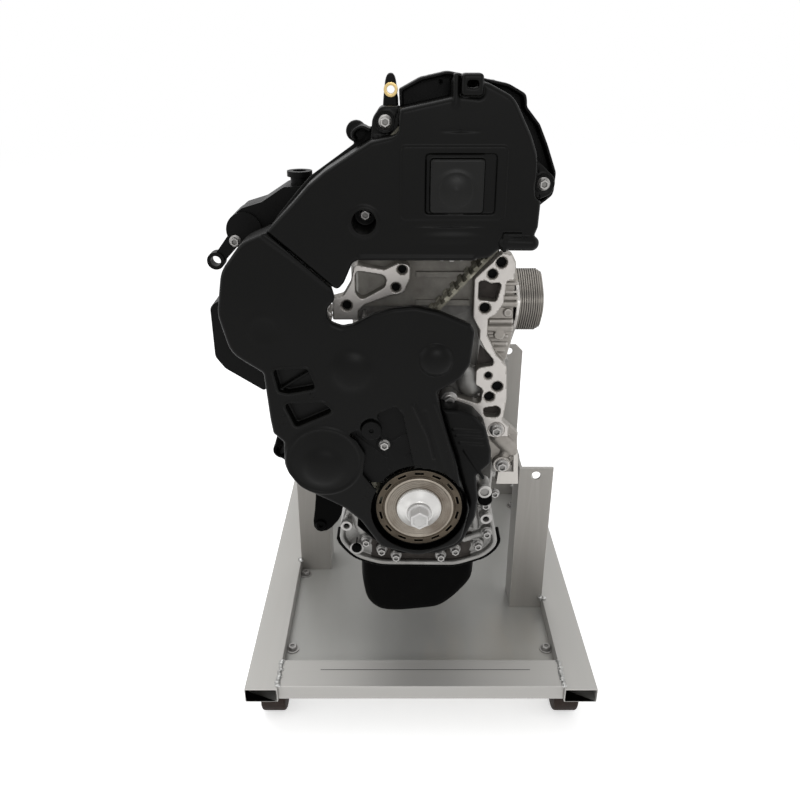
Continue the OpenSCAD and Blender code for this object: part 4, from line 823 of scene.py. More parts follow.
def lower_cover():
    f = Field((-192, FRONT - 12, -66), (60, BACK + 1.5, 290), 1.2)
    rings = loops("lower_timing_cover", FRONT)
    body = rings[0]
    recess = [r for r in rings[1:] if abs(area(r)) > 3000]
    windows = [r for r in rings[1:] if 300 < abs(area(r)) < 3000 and not is_round(r)]
    f.prism(body, FRONT, BACK - 0.3, r=4.0, back_r=0.4)
    # bead along the seam with the upper cover
    for a, b in zip(SEAM, SEAM[1:]):
        f.limb(a, b, 3.6, k=1.6)
    # fuel pump lobe: a faint slanted ring
    f.ball(-126, FRONT + 6, 214, 50, 7.2, 54, k=3)
    f.ball(-144, FRONT + 2.8, 197, 21, 6.2, 21, k=0.8)
    f.ball(-145, FRONT - 2.6, 193, 18, 2.8, 18, k=1.6, remove=True)
    # domes over the idle parts of the belt's path
    f.ball(-65, FRONT + 2.5, 154, 21, 7.0, 21, k=2.0)
    f.ball(14, FRONT + 3.2, 166, 17.4, 10.0, 17.4, k=0.8)
    # water pump lobe, with a round dome on it
    f.ball(-95, FRONT + 5.0, 58, 44, 7.4, 44, k=1.2)
    f.hoop(-95, 58, 36.5, FRONT + 0.5, 1.9, k=1.4)
    f.ball(-96, FRONT + 3.2, 52, 24, 9.6, 24, k=1.6)
    # long ribs and a shallow groove down the right arm
    for line in ARM_RIBS:
        f.path(line, FRONT + 0.4, 2.0, k=1.2)
    f.limb((5, FRONT - 2.6, 112), (24, FRONT - 3.4, 46), 3.5, 4.5, k=1.5, remove=True)
    # the domes stop at the outline, so that the bay beside the head bracket stays open
    f.within(body, 0.2)
    # hollow behind the wall, with the deep recess beside the arm, room round the disc and an open top
    g = f.like()
    g.prism(body, FRONT + WALL, BACK + 8, grow=-WALL)
    for hole in recess:
        g.prism(hole, FRONT - 12, BACK + 8, r=0.3)
    g.rod(0, 0, DISC_EDGE + 3.0, FRONT - 12, BACK + 8, r=0.6)
    g.block((-88, FRONT + 9, 172), (60, BACK + 12, 300))
    f.cut(g)
    for hole in windows:
        f.prism(hole, FRONT - 1, FRONT + 12.5, r=0.5, grow=2.4)
        f.prism(hole, FRONT - 12, FRONT + 10.0, remove=True, k=1.4)
    # slanted rib across the upper window, and a ledge across the lower one
    f.bar((-134, 134), (-106, 152), FRONT + 6, 1.6, k=0.6)
    f.bar((-126, 90), (-88, 104), FRONT + 5, 2.2, k=0.8)
    stand_for(f.mesh("lower_cover_moulding", 0.5), "lower_timing_cover", "cover_plastic")
    # panel at the bottom of the recess
    h = Field((-82, FRONT - 2, 30), (24, FRONT + 13, 132), 1.0)
    for hole in recess:
        h.prism(hole, FRONT + 6, FRONT + 9, r=0.4, grow=1.5)
    for rib in PANEL_RIBS:
        h.path(rib, FRONT + 6, 1.1, k=0.6)
    h.rod(*PANEL_BOSS, 10.0, FRONT - 0.5, FRONT + 8, r=1.4, k=0.8)
    h.rod(*PANEL_BOSS, 2.2, FRONT - 2, FRONT + 2, r=0.3, remove=True, k=0.4)
    h.rod(*PANEL_BOLT, 7.6, FRONT + 4.6, FRONT + 8, r=0.6, k=0.8)
    h.rod(0, 0, DISC_EDGE + 2.5, FRONT - 4, FRONT + 14, r=0.2, remove=True)
    h.within(recess[0], 1.6)
    extra(h.mesh("recess_panel", 0.5), "inner_plastic")
    extra(made("recess_bolt", lambda bm: bolt(bm, PANEL_BOLT, FRONT + 4.6, 8, 5.6, 5, 2, 5)), "bolt_zinc")


def inner_cover():
    """Plate behind the upper cover, with the rim that shows above and to the right of it."""
    f = Field((-140, FRONT + 10, 232), (124, BACK + 14, 420), 1.3)
    edge = outline("inner_timing_cover", BACK + 2.5)
    f.prism(edge, BACK, BACK + 2.5, r=0.6)
    rim, room = f.like(), f.like()
    rim.prism(edge, BACK - 15, BACK + 1, r=1.2)
    room.prism(edge, BACK - 30, BACK + 9, r=0.3, grow=-2.6)
    room.block((-220, FRONT, 200), (CX + 62, BACK + 9, CZ + 36), r=0.3)
    for ring in [outline("upper_timing_cover", FRONT)] + cover_ears():
        room.prism(ring, FRONT - 9, BACK + 9, r=0.3, grow=0.5)
    rim.cut(room)
    f.join(rim)
    # flutes on the rim's top
    for k in range(6):
        x, z = CX - 12 + k * 9, CZ + 84
        f.limb((x, BACK + 2, z), (x, BACK - 12, z - 0.9 * abs(k - 3)), 0.9, k=0.8)
    # lug of the brass bush, and the boss beside its foot
    lug = soft([(CX - 62, CZ + 52), (CX - 61, CZ + 70), (CX - 58.6, CZ + 90), (CX - 50.6, CZ + 90),
                (CX - 48.4, CZ + 70), (CX - 47, CZ + 52)])
    f.prism(lug, BACK - 4, BACK + 9.5, r=2.0, k=1.0)
    f.rod(CX - 54.5, CZ + 77, 4.6, BACK - 9, BACK + 12, r=0.2, remove=True)
    f.rod(CX - 85, CZ + 43, 9, BACK, BACK + 9, r=1.4, k=1.5)
    for x, z in ((-45, CZ - 48), (60, CZ - 44), (0, CZ - 18)):
        f.rod(x, z, 6, BACK, BACK + 12, r=0.6)
    f.rod(CX, CZ, 19, BACK - 2, BACK + 9, r=0.2, remove=True)
    stand_for(f.mesh("inner_cover_moulding", 0.4), "inner_timing_cover", "inner_plastic")


def lower_inner():
    """Plate and rim behind the lower cover, with the ribs that show beside the right arm."""
    f, lo, hi = field_round("lower_inner_cover", 1.1, room=3, behind=1.5)
    face, back = outline("lower_inner_cover", lo.y), outline("lower_inner_cover", hi.y)
    f.prism(back, hi.y - 3, hi.y, r=0.5)
    f.prism(face, lo.y, hi.y - 2, r=4.5, back_r=0.3)
    g = f.like()
    g.prism(back, lo.y + 2.8, hi.y - 3, r=0.3, grow=-2.6)
    g.prism(outline("lower_timing_cover", FRONT), lo.y - 9, hi.y - 3, r=0.3, grow=0.4)
    f.cut(g)
    for z, x0, x1 in ((86, 34, 60), (79, 37, 63), (71, 41, 64)):
        f.bar((x0, z), (x1, z - 2), lo.y + 0.6, 1.6, k=1.2)
    f.bar((46, 62), (66, 30), lo.y + 0.4, 1.7, k=1.4)
    f.rod(0, 0, 41, lo.y - 5, hi.y + 5, r=0.3, remove=True)
    stand_for(f.mesh("lower_inner_moulding", 0.36), "lower_inner_cover", "inner_plastic")


# ---------------------------------------------------------------- castings at the front

HOUSING_RIBS = (((-70, -30), (-62, -56), 6, 5.4), ((-50, -56), (-60, -40), 5, 4.2),
                ((52, -66), (74, -58), 5, 4.2), ((60, -22), (64, -50), 5, 4.0))


def front_casting():
    f, lo, hi = field_round("front_housing", 1.05, behind=1.5)
    edge = lip_outline()
    f.prism(edge, lo.y + 1.4, hi.y, r=2.4, back_r=0.4)
    # a dished face inside a rolled lip
    f.prism(edge, lo.y - 4, lo.y + 7.5, r=1.5, grow=-5.2, remove=True, k=1.6)
    lip = edge * (1 - 2.7 / np.maximum(np.linalg.norm(edge, axis=1, keepdims=True), 1))
    for a, b in zip(lip, np.roll(lip, -1, 0)):
        if a[1] < -34 and b[1] < -34:
            f.bar(a, b, lo.y + 2.6, 2.5, k=0.5)
    for x, z in FRONT_BOLTS:
        f.rod(x, z, 6.4, lo.y + 0.2, hi.y, r=1.6, k=1.6)
        f.rod(x, z, 3.4, lo.y - 4, hi.y + 4, r=0.1, remove=True)
    # the seal's boss, stiffening ribs and slanted oil passages
    f.rod(0, 0, 50, lo.y + 3.5, hi.y, r=1.4, k=1.8)
    for a in range(8):
        t = math.radians(-160 + a * 20)
        f.bar((48 * math.cos(t), 48 * math.sin(t)), (80 * math.cos(t), 80 * math.sin(t)),
              lo.y + 7, 1.6, k=1.6)
    for a, b, depth, radius in HOUSING_RIBS:
        f.bar(a, b, lo.y + depth, radius, k=1.8)
    f.within(edge)
    f.rod(0, 0, 41.5, lo.y - 4, hi.y + 4, r=0.2, remove=True)
    piece = stand_for(f.mesh("front_housing_casting", 0.52), "front_housing", "cast_aluminium")
    # the floor of the dish below the disc gets a dark finish: painted shade where the disc and the lip shade
    # it
    painted(piece, "painted_shade_casting", lambda c, n: c.y > lo.y + 3.8 and c.z < -58 and -52 < c.x < 60)


def drill(f, rings, front, ahead, back, k, step):
    """Holes through a milled face, the round ones with a stepped edge."""
    for ring in rings:
        f.prism(ring, front - ahead, back, r=0.1, remove=True, k=k)
        if is_round(ring):
            f.rod(*ring.mean(0), mean_radius(ring) + step, front - 2, front + step, r=0.1, remove=True)


BACK_PANEL = soft([(77, 258), (86, 256), (90, 248), (95, 232), (95, 172), (90, 160), (87, 143), (73, 144),
                   (73, 150), (64, 161), (58, 172), (58, 181), (51, 194), (51, 233)], 1)
SIDE_BODY = soft([(49, 214), (62, 216), (86, 226), (116, 230), (125, 221), (125, 158), (111, 152), (93, 152),
                  (66, 177), (49, 186)])
# oil passages and webs across the bracket: from, to, depth, height and radius
PASSAGES = ((80, 95, 11, 225, 1.9), (81, 95, 10, 217, 1.3), (79, 95, 9.6, 211.5, 2.6),
            (77, 95, 12, 204.6, 3.6), (68, 92, 11.2, 187, 2.6), (65, 92, 10.4, 180, 3.7),
            (66, 88, 12, 171, 2.0), (70, 88, 12.5, 163, 3.0), (74, 86, 12.8, 155.4, 2.2))


def accessory_casting():
    """Bright die-cast bracket: a flat milled face in front of a ribbed body that carries the cooler."""
    f, lo, hi = field_round("accessory_bracket", 0.95, behind=1.5)
    front = lo.y
    rings = loops("accessory_bracket", front)
    body, low = f.like(), f.like()
    body.side(SIDE_BODY, 75.2, 95, r=2.0)
    low.side(SIDE_BODY, 64.4, 80, r=1.5)
    low.block((60, front, 198), (100, 140, 260), r=0.2, remove=True)
    f.prism(BACK_PANEL, front + 11.6, front + 14, r=0.8, back_r=0.4)
    f.join(body)
    f.join(low)
    # room between the body and the cooler's flange
    f.block((91.6, front, 154), (94.2, front + 40, 246), r=0.3, remove=True)
    for x0, x1, depth, z, radius in PASSAGES:
        f.cross_rod(x0, x1, front + depth, z, radius, r=0.5, k=0.5)
    f.rod(79, 173.5, 5.5, front + 7.5, front + 14, r=1.2, k=0.8)
    f.rod(86, 196, 4.2, front + 8.5, front + 14, r=1.0, k=0.8)
    # milled face
    f.prism(rings[0], front, front + 14, r=0.7, back_r=0.5)
    # slanted webs between the lower bolts, and the round lug below them
    f.bar((30, 99), (76, 76), front + 9, 4.6, 6.0, k=2.0)
    f.block((68, front - 4, 20), (112, front + 7.5, 64), r=0.8, remove=True, k=0.8)
    for x, z in BRACKET_BOLTS:
        f.rod(x, z, 9.5, front + 0.4, front + 14, r=1.2, k=0.6)
    f.block((93, front - 4, 58), (112, front + 5.5, 84), r=0.8, remove=True, k=0.8)
    f.bar((83, 61), (98, 46), front + 10.4, 8.8, 9.4, k=0.8)
    f.bar((92, 42), (89, 34), front + 8, 5.5, k=1.2)
    f.limb((76, front + 1.5, 54), (90, front + 0.5, 40), 1.5, k=0.5, remove=True)
    f.limb((87, front + 0.6, 50), (98, front + 1.4, 38), 1.2, k=0.4, remove=True)
    solid = f.like()
    solid.prism(rings[0], front - 0.2, front + 15.5, r=0.2)
    solid.prism(BACK_PANEL, front + 7, front + 15.5, r=0.2)
    solid.block((62, front + 7, 149), (98, hi.y, 234), r=0.2)
    f.clip(solid)
    drill(f, rings[1:], front, 5, front + 15, 0.5, 0.8)
    for x, z in BRACKET_BOLTS:
        f.rod(x, z, 8.8, front - 3, front + 0.6, r=0.2, remove=True)
        f.rod(x, z, 8, front + 10, 60, r=0.4)
    milled(stand_for(f.mesh("accessory_bracket_casting", 0.6), "accessory_bracket", "body_casting"), front)


def head_bracket():
    f, lo, hi = field_round("head_bracket", 0.9)
    rings = loops("head_bracket", lo.y)
    f.prism(rings[0], lo.y, hi.y, r=0.9, back_r=0.4)
    drill(f, rings[1:], lo.y, 3, hi.y + 3, 0.6, 0.9)
    milled(stand_for(f.mesh("head_bracket_casting", 0.6), "head_bracket", "body_casting"), lo.y)


FUEL_AXIS, WATER_AXIS, PUMP_EAR = (-125, 207), (-95, 58), (-143, 50)
PUMP_WEBS = (((-160, 200), (-100, 120)), ((-170, 215), (-110, 245)), ((-95, 150), (-70, 110)),
             ((-130, 120), (-90, 60)), ((-120, 60), (-80, 40)), ((-150, 235), (-160, 180)))


def pump_casting():
    """Dark bracket behind the lower cover, which carries both pumps."""
    f, lo, hi = field_round("pump_bracket", 1.6)
    edge = outline("pump_bracket", BACK)
    f.prism(edge, BACK, hi.y, r=3.0, back_r=0.5)
    f.prism(edge, BACK - 4, BACK + 5, r=1.5, grow=-5, remove=True, k=3.0)
    for web in PUMP_WEBS:
        f.path(web, BACK + 4.5, 2.6, k=2.5)
    f.rod(*PUMP_EAR, 9, lo.y, hi.y - 6, r=1.4, k=2.0)
    f.rod(*FUEL_AXIS, 17, BACK, hi.y, r=1.2, k=2)
    f.rod(*WATER_AXIS, 15, BACK, hi.y, r=1.2, k=2)
    solid = f.like()
    solid.prism(edge, lo.y - 6, hi.y + 6, r=0.2)
    solid.rod(*PUMP_EAR, 9.5, lo.y - 3, hi.y, r=0.2)
    f.clip(solid)
    for centre, radius, back in ((PUMP_EAR, 5, 0), (FUEL_AXIS, 10.6, 4), (WATER_AXIS, 8.6, -8)):
        f.rod(*centre, radius, lo.y - 3, hi.y + back, r=0.2, remove=True)
    stand_for(f.mesh("pump_bracket_casting", 0.6), "pump_bracket", "black_paint")


def hole_floors():
    """Painted shade: dark floors at the bottoms of the drilled and cast holes in the milled faces, and behind
    the bracket's windows.
    """
    def holes(bm):
        for node in ("accessory_bracket", "head_bracket"):
            front = engine_box(node)[0].y
            for ring in loops(node, front)[1:]:
                if is_round(ring) and nearest(ring.mean(0), BRACKET_BOLTS) > 4:
                    disc(bm, ring.mean(0), mean_radius(ring) + 0.4, front + 6, front + 4, 24)
    extra(made("hole_floors", holes), "painted_shade_black")

    # the plates behind the bracket's windows are painted shade
    def windows(bm):
        front = engine_box("accessory_bracket")[0].y
        for ring in loops("accessory_bracket", front)[1:]:
            if not is_round(ring):
                centre = ring.mean(0)
                plate(bm, centre + (ring - centre) * 0.985, front + 11, front + 13)
    extra(made("window_floors", windows), "painted_shade_casting")


CRANK_BORE = 7.4


def crank_front():
    """Slotted disc with its dished hub, cone washer and centre bolt."""
    f, _, hi = field_round("crank_disc", 0.62, room=1.5)
    rim = DISC_EDGE
    f.rod(0, 0, rim, 1.3, 2.5, r=0.3)
    f.rod(0, 0, rim - 1.9, 0, 2.5, r=0.5)
    f.rod(0, 0, 30, 2, hi.y, r=0.3)
    f.hoop(0, 0, rim * 0.795, 0, 0.9, remove=True)
    for ring in loops("crank_disc", 0)[1:]:
        if 8 < abs(area(ring)) < 60:
            f.prism(ring, -3, 4, r=0.1, remove=True)
    f.rod(0, 0, rim * 0.775, -4, 0.6, r=0.2, remove=True)
    f.rod(0, 0, CRANK_BORE, -4, 6, r=0.2, remove=True)
    stand_for(f.mesh("crank_disc_rim", 0.6), "crank_disc")
    # a black band on the rim's outer edge: painted shade of the gap round the disc
    band = [(rim - 1.7, 2.4), (rim - 1.7, 0.4), (rim - 1.2, 0.1), (rim - 0.1, 1.0), (rim - 0.1, 2.4)]
    extra(made("crank_disc_band", lambda bm: revolve(bm, band, steps=96)), "black_paint", "crank")
    # the hub: a rolled edge, five rings pressed into its dish, and the seat of the washer
    out = rim * 0.765
    hub = [(CRANK_BORE, 2.4), (out, 2.4), (out, -0.9), (out - 0.8, -1.5), (out - 1.8, -1.5),
           (out - 2.4, -1.0)]
    for k in range(5):
        r, y = out - 3.4 - k * 2.1, 0.3 * k
        hub += [(r + 0.7, y - 0.8), (r, y - 0.45), (r - 0.7, y - 0.7)]
    hub += [(22.9, 0.7), (CRANK_BORE, 0.7)]
    extra(made("crank_disc_hub", lambda bm: revolve(bm, hub, steps=96), 40), "hub_steel", "crank")

    def washer(bm):
        revolve(bm, [(CRANK_BORE, -1.5), (22.3, -1.5), (22.3, -2.9), (21.6, -3.5), (18, -5.9), (14.4, -8.9),
                     (13.6, -9.7), (12.9, -10), (12.3, -9.7), (CRANK_BORE, -9.7)], steps=96)
        revolve(bm, [(CRANK_BORE, -1.6), (22.9, -1.6), (22.9, 0.9), (CRANK_BORE, 0.9)], steps=64)
    stand_for(made("crank_washer_cone", washer, 24), "crank_washer", "washer_steel")

    def centre_bolt(bm):
        revolve(bm, [(0, 44), (6, 44), (6, -10), (11.7, -10), (11.9, -10.6), (11.7, -12.4), (11, -13),
                     (9.4, -13.3), (0, -13.3)], steps=64)
        corner = 18 / math.sqrt(3)
        revolve(bm, [(0, -12), (corner, -12), (corner, -23.4), (corner * 0.93, -24.6), (corner * 0.84, -25),
                     (7.0, -25), (6.6, -24.5), (0, -24.5)], steps=6)
    stand_for(made("crank_centre_bolt", centre_bolt), "crank_bolt", "head_steel")


def sump_pan():
    """Pressed pan with a raised edge that follows the front housing's lip."""
    lo, hi = engine_box("oil_sump")
    f = Field((lo.x - 14, lo.y - 24, lo.z - 3), (hi.x + 14, hi.y + 3, hi.z + 60), 2.0)
    pan = eased(outline("oil_sump", lo.y + 6), 16)
    pan = np.where(pan[:, 1:] > hi.z - 6, pan + (0, 5), pan - (0, 1.5))
    f.prism(pan, lo.y + 6, hi.y - 12, r=9, back_r=9)
    f.block((lo.x, lo.y, hi.z - 3), hi, r=1.2, k=3.0)
    edge, band = lip_outline(), f.like()
    band.prism(edge, lo.y - 21, lo.y + 3, r=1.4, grow=4.6)
    band.prism(edge, lo.y - 30, lo.y + 9, r=0.1, grow=0.2, remove=True)
    band.block((-200, 0, hi.z + 34), (200, 200, hi.z + 200), r=0.2, remove=True)
    f.join(band)
    f.rod(-15, hi.z - 50, 7.2, hi.y - 16, hi.y, r=0.2, remove=True)  # room for the drain plug
    stand_for(f.mesh("sump_pan", 0.3), "oil_sump", "black_paint")


# ---------------------------------------------------------------- fixings and small parts

def upright(bm, x, y, profiles):
    """Round and hexagonal shells that stand upright: (steps, profile of radius and height)."""
    for steps, profile in profiles:
        revolve(bm, profile, (x, 0), steps, upright=y)


def fixings():
    """Bolts and screws on the CAD's own places."""
    def all_of(bm):
        for lo, hi in FASTENERS:
            x, z = middle(lo, hi)
            if not faces_front(lo, hi):
                top = hi[2] - 2.6
                washer = [(0, lo[2]), (4.3, lo[2]), (4.3, lo[2] + 2.6), (2.4, lo[2] + 3), (2.4, top),
                          (8.6, top), (8.6, top + 1.6), (6.4, top + 1.8), (0, top + 1.8)]
                head = [(0, top + 1), (5.8, top + 1), (5.8, top + 5.6), (5.2, top + 6.4), (2.6, top + 6.4),
                        (2.2, top + 5.6), (0, top + 5.6)]
                upright(bm, x, (lo[1] + hi[1]) / 2, ((28, washer), (6, head)))
            elif nearest((x, z), SLEEVES) < 6:
                y = lo[1] + 2
                sleeve = [(3.0, hi[1]), (6.6, hi[1]), (6.6, y + 1), (6.0, y), (3.6, y), (3.0, y + 1)]
                revolve(bm, sleeve, (x, z), 32)
            else:
                radius = (hi[0] - lo[0]) / 2
                head = 8 if radius > 8 else 6
                flange = radius * (0.92 if nearest((x, z), BRACKET_BOLTS) < 4 else 0.76)
                bolt(bm, (x, z), lo[1] + head, flange * 4 / 3, flange, head, 3, hi[1] - lo[1] - head)
    stand_for(made("fixing_set", all_of), "fasteners", "bolt_zinc")


LUG_HOLE = (-106, -43)
LEFT_STUD = (-67.5, -72)
ROD_BOLT = (30.5, 106)


def small_parts():
    """Pieces around the front that the CAD model leaves out."""
    front = HOUSING

    def lug(bm):
        ring = soft([(-108, 24), (-84, 24), (-80, -14), (-84, -34), (-97, -50), (-109, -53), (-115, -44),
                     (-111, -18)], 1)
        plate(bm, ring, BACK + 1.2, BACK + 8)
        revolve(bm, [(2.6, BACK - 1.5), (5.4, BACK - 1.5), (5.9, BACK - 0.8), (5.9, BACK + 3),
                     (2.6, BACK + 3)], LUG_HOLE, 28)
        disc(bm, LUG_HOLE, 3, BACK + 3, BACK + 0.2, 20)
    extra(made("lower_lug", lug, 40), "black_paint")

    def studs(bm):
        disc(bm, LEFT_STUD, 5.6, front + 8, front - 7, edge=(0.8, 1))
        disc(bm, (71.5, -7.5), 7.6, front + 8, front - 9, edge=(1, 1))
        for sleeve in SLEEVES:
            disc(bm, sleeve, 3.4, front + 4, front + 2, 20)
    extra(made("front_studs", studs), "black_paint")

    def bright(bm):
        disc(bm, (LEFT_STUD[0], LEFT_STUD[1] - 2), 7.6, front + 9, front - 4, 32, edge=(1, 0.8))
        bolt(bm, (82.5, -5), front + 2, 7, 5.2, 5, 2, 6)
        bolt(bm, ROD_BOLT, front + 0.5, 10, 7.5, 6.5, 2.8, 10)
        disc(bm, ROD_BOLT, 8.8, front + 14, front + 0.4, 36, edge=(0.8, 0.8))
        disc(bm, (-54, 196.5), 2.0, front + 12, front - 5, 20, edge=(0.6, 1))
    extra(made("front_studs_bright", bright), "bolt_zinc")

    def barrel(bm):
        revolve(bm, [(0, front + 12), (7.0, front + 12), (7.0, front - 7), (6.4, front - 7.6),
                     (6.4, front - 9), (7.6, front - 9.4), (7.6, front - 11), (6.6, front - 12),
                     (4.6, front - 12), (4.2, front - 10.6), (0, front - 10.6)], (70, 4), 36)
    extra(made("front_barrel", barrel), "cast_aluminium")

    def frame(bm):
        plate(bm, [(100.5, 43), (104.8, 43), (107.4, 5), (84, 5), (85.5, 20), (101.6, 20)],
              front + 4, front + 18)
    extra(made("right_link_frame", frame), "body_casting")

    # a thin dark plate beside the bracket: painted shade over the block behind it
    def shade(bm):
        plate(bm, [(60, 163), (72, 150), (76, 142), (74, 138), (58, 142)], front + 9, front + 10)
    extra(made("bracket_shade", shade), "painted_shade_casting")
    lump = Field((38, front + 2, 94), (74, front + 26, 146), 1.0)
    lump.ball(52, front + 16, 121, 13, 10, 17)
    lump.bar((48, 134), (62, 126), front + 14, 6, 5, k=4)
    lump.bar((54, 112), (64, 114), front + 14, 6, 4, k=4)
    extra(lump.mesh("bracket_root", 0.6), "cast_aluminium")


def welds():
    """Rippled beads where the front crossbar meets the rails and at the feet of the posts."""
    chance = np.random.default_rng(7)
    lo, hi = engine_box("front_crossbar")
    for side, x in (("left", lo.x), ("right", hi.x)):
        f = Field((x - 7, lo.y - 2, hi.z - 4), (x + 7, hi.y + 3, hi.z + 5), 0.8)
        for k in range(15):
            shift, rise = chance.uniform(-1.1, 1.1), chance.uniform(0.5, 1.5)
            f.ball(x + shift, lo.y + 1 + k * 3.0, hi.z + rise - 0.8, chance.uniform(2.6, 4.2), 2.4, 1.9,
                   k=0.6)
        extra(f.mesh("weld_" + side, 0.7), "zinc_steel")
    for node in ("left_side_post", "right_side_post", "left_rear_post", "right_rear_post"):
        low, high = engine_box(node)
        x = low.x if "left" in node else high.x
        f = Field((x - 9, low.y - 10, hi.z - 8), (x + 9, low.y + 9, hi.z + 7), 0.9)
        for k in range(7):
            f.ball(x + chance.uniform(-3, 3), low.y - 1 + chance.uniform(-4.5, 3),
                   hi.z + chance.uniform(-3, 2), 3.2, 2.8, 2.6, k=0.8)
        extra(f.mesh("weld_" + node, 0.7), "zinc_steel")

    def scratch(bm):
        size = Vector((262, 0.8, 0.5)) * MM
        spot = at((lo.x + hi.x) / 2 + 6, lo.y + 28, hi.z)
        bmesh.ops.create_cube(bm, size=1, matrix=Matrix.LocRotScale(spot, None, size))
    extra(made("crossbar_scratch", scratch), "gasket_steel")


# ---------------------------------------------------------------- relief on the flanks and the top

def flank_relief():
    """Ribs and bosses on the flanks of the block and the ladder."""
    block, ladder = engine_box("cylinder_block"), engine_box("bearing_ladder")
    wide, narrow, top, floor = block[1].x, 60.0, block[1].z, ladder[0].z
    pistons = [engine_box("piston_%d" % (k + 1)) for k in range(4)]
    bores = [(lo.y + hi.y) / 2 for lo, hi in pistons]
    pitch = bores[1] - bores[0]
    walls = [bores[0] - pitch / 2 + 3] + [b + pitch / 2 for b in bores[:-1]] + [bores[-1] + pitch / 2 - 2]
    for name, s in (("left", -1), ("right", 1)):
        left, right = sorted((s * (narrow - 6), s * (wide + 6)))
        f = Field((left, block[0].y + 12, 1), (right, block[1].y - 1, top - 6), 1.9)
        # a rib on each wall between the bores, which follows the flank outwards
        for y in walls:
            line = [(s * narrow, y, top - 12), (s * narrow, y, 106), (s * wide, y, 80), (s * wide, y, 10)]
            for a, b, ra, rb in zip(line, line[1:], (3.2, 3.6, 4.0), (3.6, 4.0, 4.4)):
                f.limb(a, b, ra, rb, k=1.0)
        for z, radius in ((10, 3.4), (66, 2.6)):
            f.limb((s * wide, walls[0], z), (s * wide, walls[-1], z), radius, k=1.5)
        for k, y in enumerate(bores):
            f.cross_rod(*sorted((s * (wide - 6), s * (wide + 4.5))), y, 38, 9 if k % 2 else 12, r=1.4, k=2.0)
            f.cross_rod(*sorted((s * wide, s * (wide + 6))), y, 38, 4.0, r=0.4, remove=True)
        extra(f.mesh("block_relief_" + name, 0.5), "iron_casting")
        left, right = sorted((s * (wide - 4), s * (wide + 6)))
        f = Field((left, ladder[0].y + 12, floor), (right, ladder[1].y - 1, -1), 1.8)
        for y in walls + bores:
            f.limb((s * wide, y, -10), (s * (wide - 1), y, floor + 12), 4.4, 3.0, k=1.5)
            for z0, z1 in ((-8, -2), (floor + 1, floor + 9)):
                f.up_rod(s * (wide - 0.5), y, z0, z1, 5.4, r=1.0, k=1.5)
        extra(f.mesh("ladder_relief_" + name, 0.5), "plain_casting")


def cover_relief():
    """Ridges, bosses and bolts on the camshaft cover."""
    lo, hi = engine_box("cam_cover")
    f = Field((lo.x + 1, lo.y + 2, hi.z - 6), (hi.x - 1, hi.y - 2, hi.z + 6), 1.6)
    for x in (lo.x + 26, (lo.x + hi.x) / 2, hi.x - 26):
        f.limb((x, lo.y + 18, hi.z - 1.4), (x, hi.y - 18, hi.z - 1.4), 3.4, k=1.5)
    spots = [(x, y) for x in (lo.x + 10, hi.x - 10) for y in np.linspace(lo.y + 16, hi.y - 16, 5)]
    for x, y in spots:
        f.up_rod(x, y, hi.z - 5, hi.z + 1.4, 7.0, r=1.2, k=1.5)
    extra(f.mesh("cam_cover_relief", 0.5), "black_paint")
    seat = hi.z + 1.2
    washer = [(0, seat), (5.6, seat), (5.6, seat + 0.9), (4.6, seat + 1.3), (0, seat + 1.3)]
    head = [(0, seat + 1), (4.4, seat + 1), (4.4, seat + 4), (3.9, seat + 4.6), (0, seat + 4.6)]

    def bolts(bm):
        for x, y in spots:
            upright(bm, x, y, ((24, washer), (6, head)))
    extra(made("cam_cover_bolts", bolts), "bolt_zinc")


BOSS_START = (128, 2)  # the corner of the rear plate from which its bosses are spaced


def rear_relief():
    """Ten bolt bosses just inside the rear plate's edge."""
    lo, hi = engine_box("rear_plate")
    edge = outline("rear_plate", hi.y)
    first = min(range(len(edge)), key=lambda i: math.dist(edge[i], BOSS_START))
    ring = eased(np.roll(edge, -first, 0), 6)
    centre = ring.mean(0)
    f = Field((lo.x, hi.y - 26, lo.z), (hi.x, hi.y + 1, hi.z), 1.7)
    for k in range(10):
        p = ring[int((k + 0.5) * len(ring) / 10)]
        x, z = p + (centre - p) * 9.5 / np.linalg.norm(centre - p)
        f.rod(x, z, 8.8, hi.y - 24, hi.y - 0.4)
        f.rod(x, z, 4.4, hi.y - 12, hi.y + 3, r=0.2, remove=True)
    f.within(ring, -0.3)
    extra(f.mesh("rear_plate_bosses", 0.5), "plain_casting")


# ---------------------------------------------------------------- studio

def seen_apart(nt, lit, seen):
    """One shader for rays that only light a surface, another for rays that show it: camera, mirror, glass."""
    path = add_node(nt, "LightPath")
    shown = path.outputs["Is Camera Ray"]
    for kind in ("Is Glossy Ray", "Is Transmission Ray"):
        shown = add_node(nt, "Math", {0: shown, 1: path.outputs[kind]}, operation="MAXIMUM").outputs["Value"]
    return add_node(nt, "MixShader", {"Fac": shown, 1: lit, 2: seen}).outputs["Shader"]


def white_floor():
    """A seamless floor that shows a little lighter than it lights."""
    white = bpy.data.materials.new("studio_white")
    white.use_nodes = True
    nt = white.node_tree
    card = nt.nodes["Principled BSDF"]
    feed(nt, card, {"Base Color": (0.9, 0.9, 0.9, 1), "Roughness": 0.9, "Specular IOR Level": 0.0})
    glow = add_node(nt, "Emission", {"Strength": 0.5})
    both = add_node(nt, "AddShader", {0: card.outputs["BSDF"], 1: glow.outputs["Emission"]})
    surface = seen_apart(nt, card.outputs["BSDF"], both.outputs["Shader"])
    feed(nt, nt.nodes["Material Output"], {"Surface": surface})
    half = 6.0
    corners = [(-half, -half, 0), (half, -half, 0), (half, half, 0), (-half, half, 0)]
    me = bpy.data.meshes.new("floor")
    me.from_pydata(corners, [], [(0, 1, 2, 3)])
    me.materials.append(white)
    return placed("floor", me)


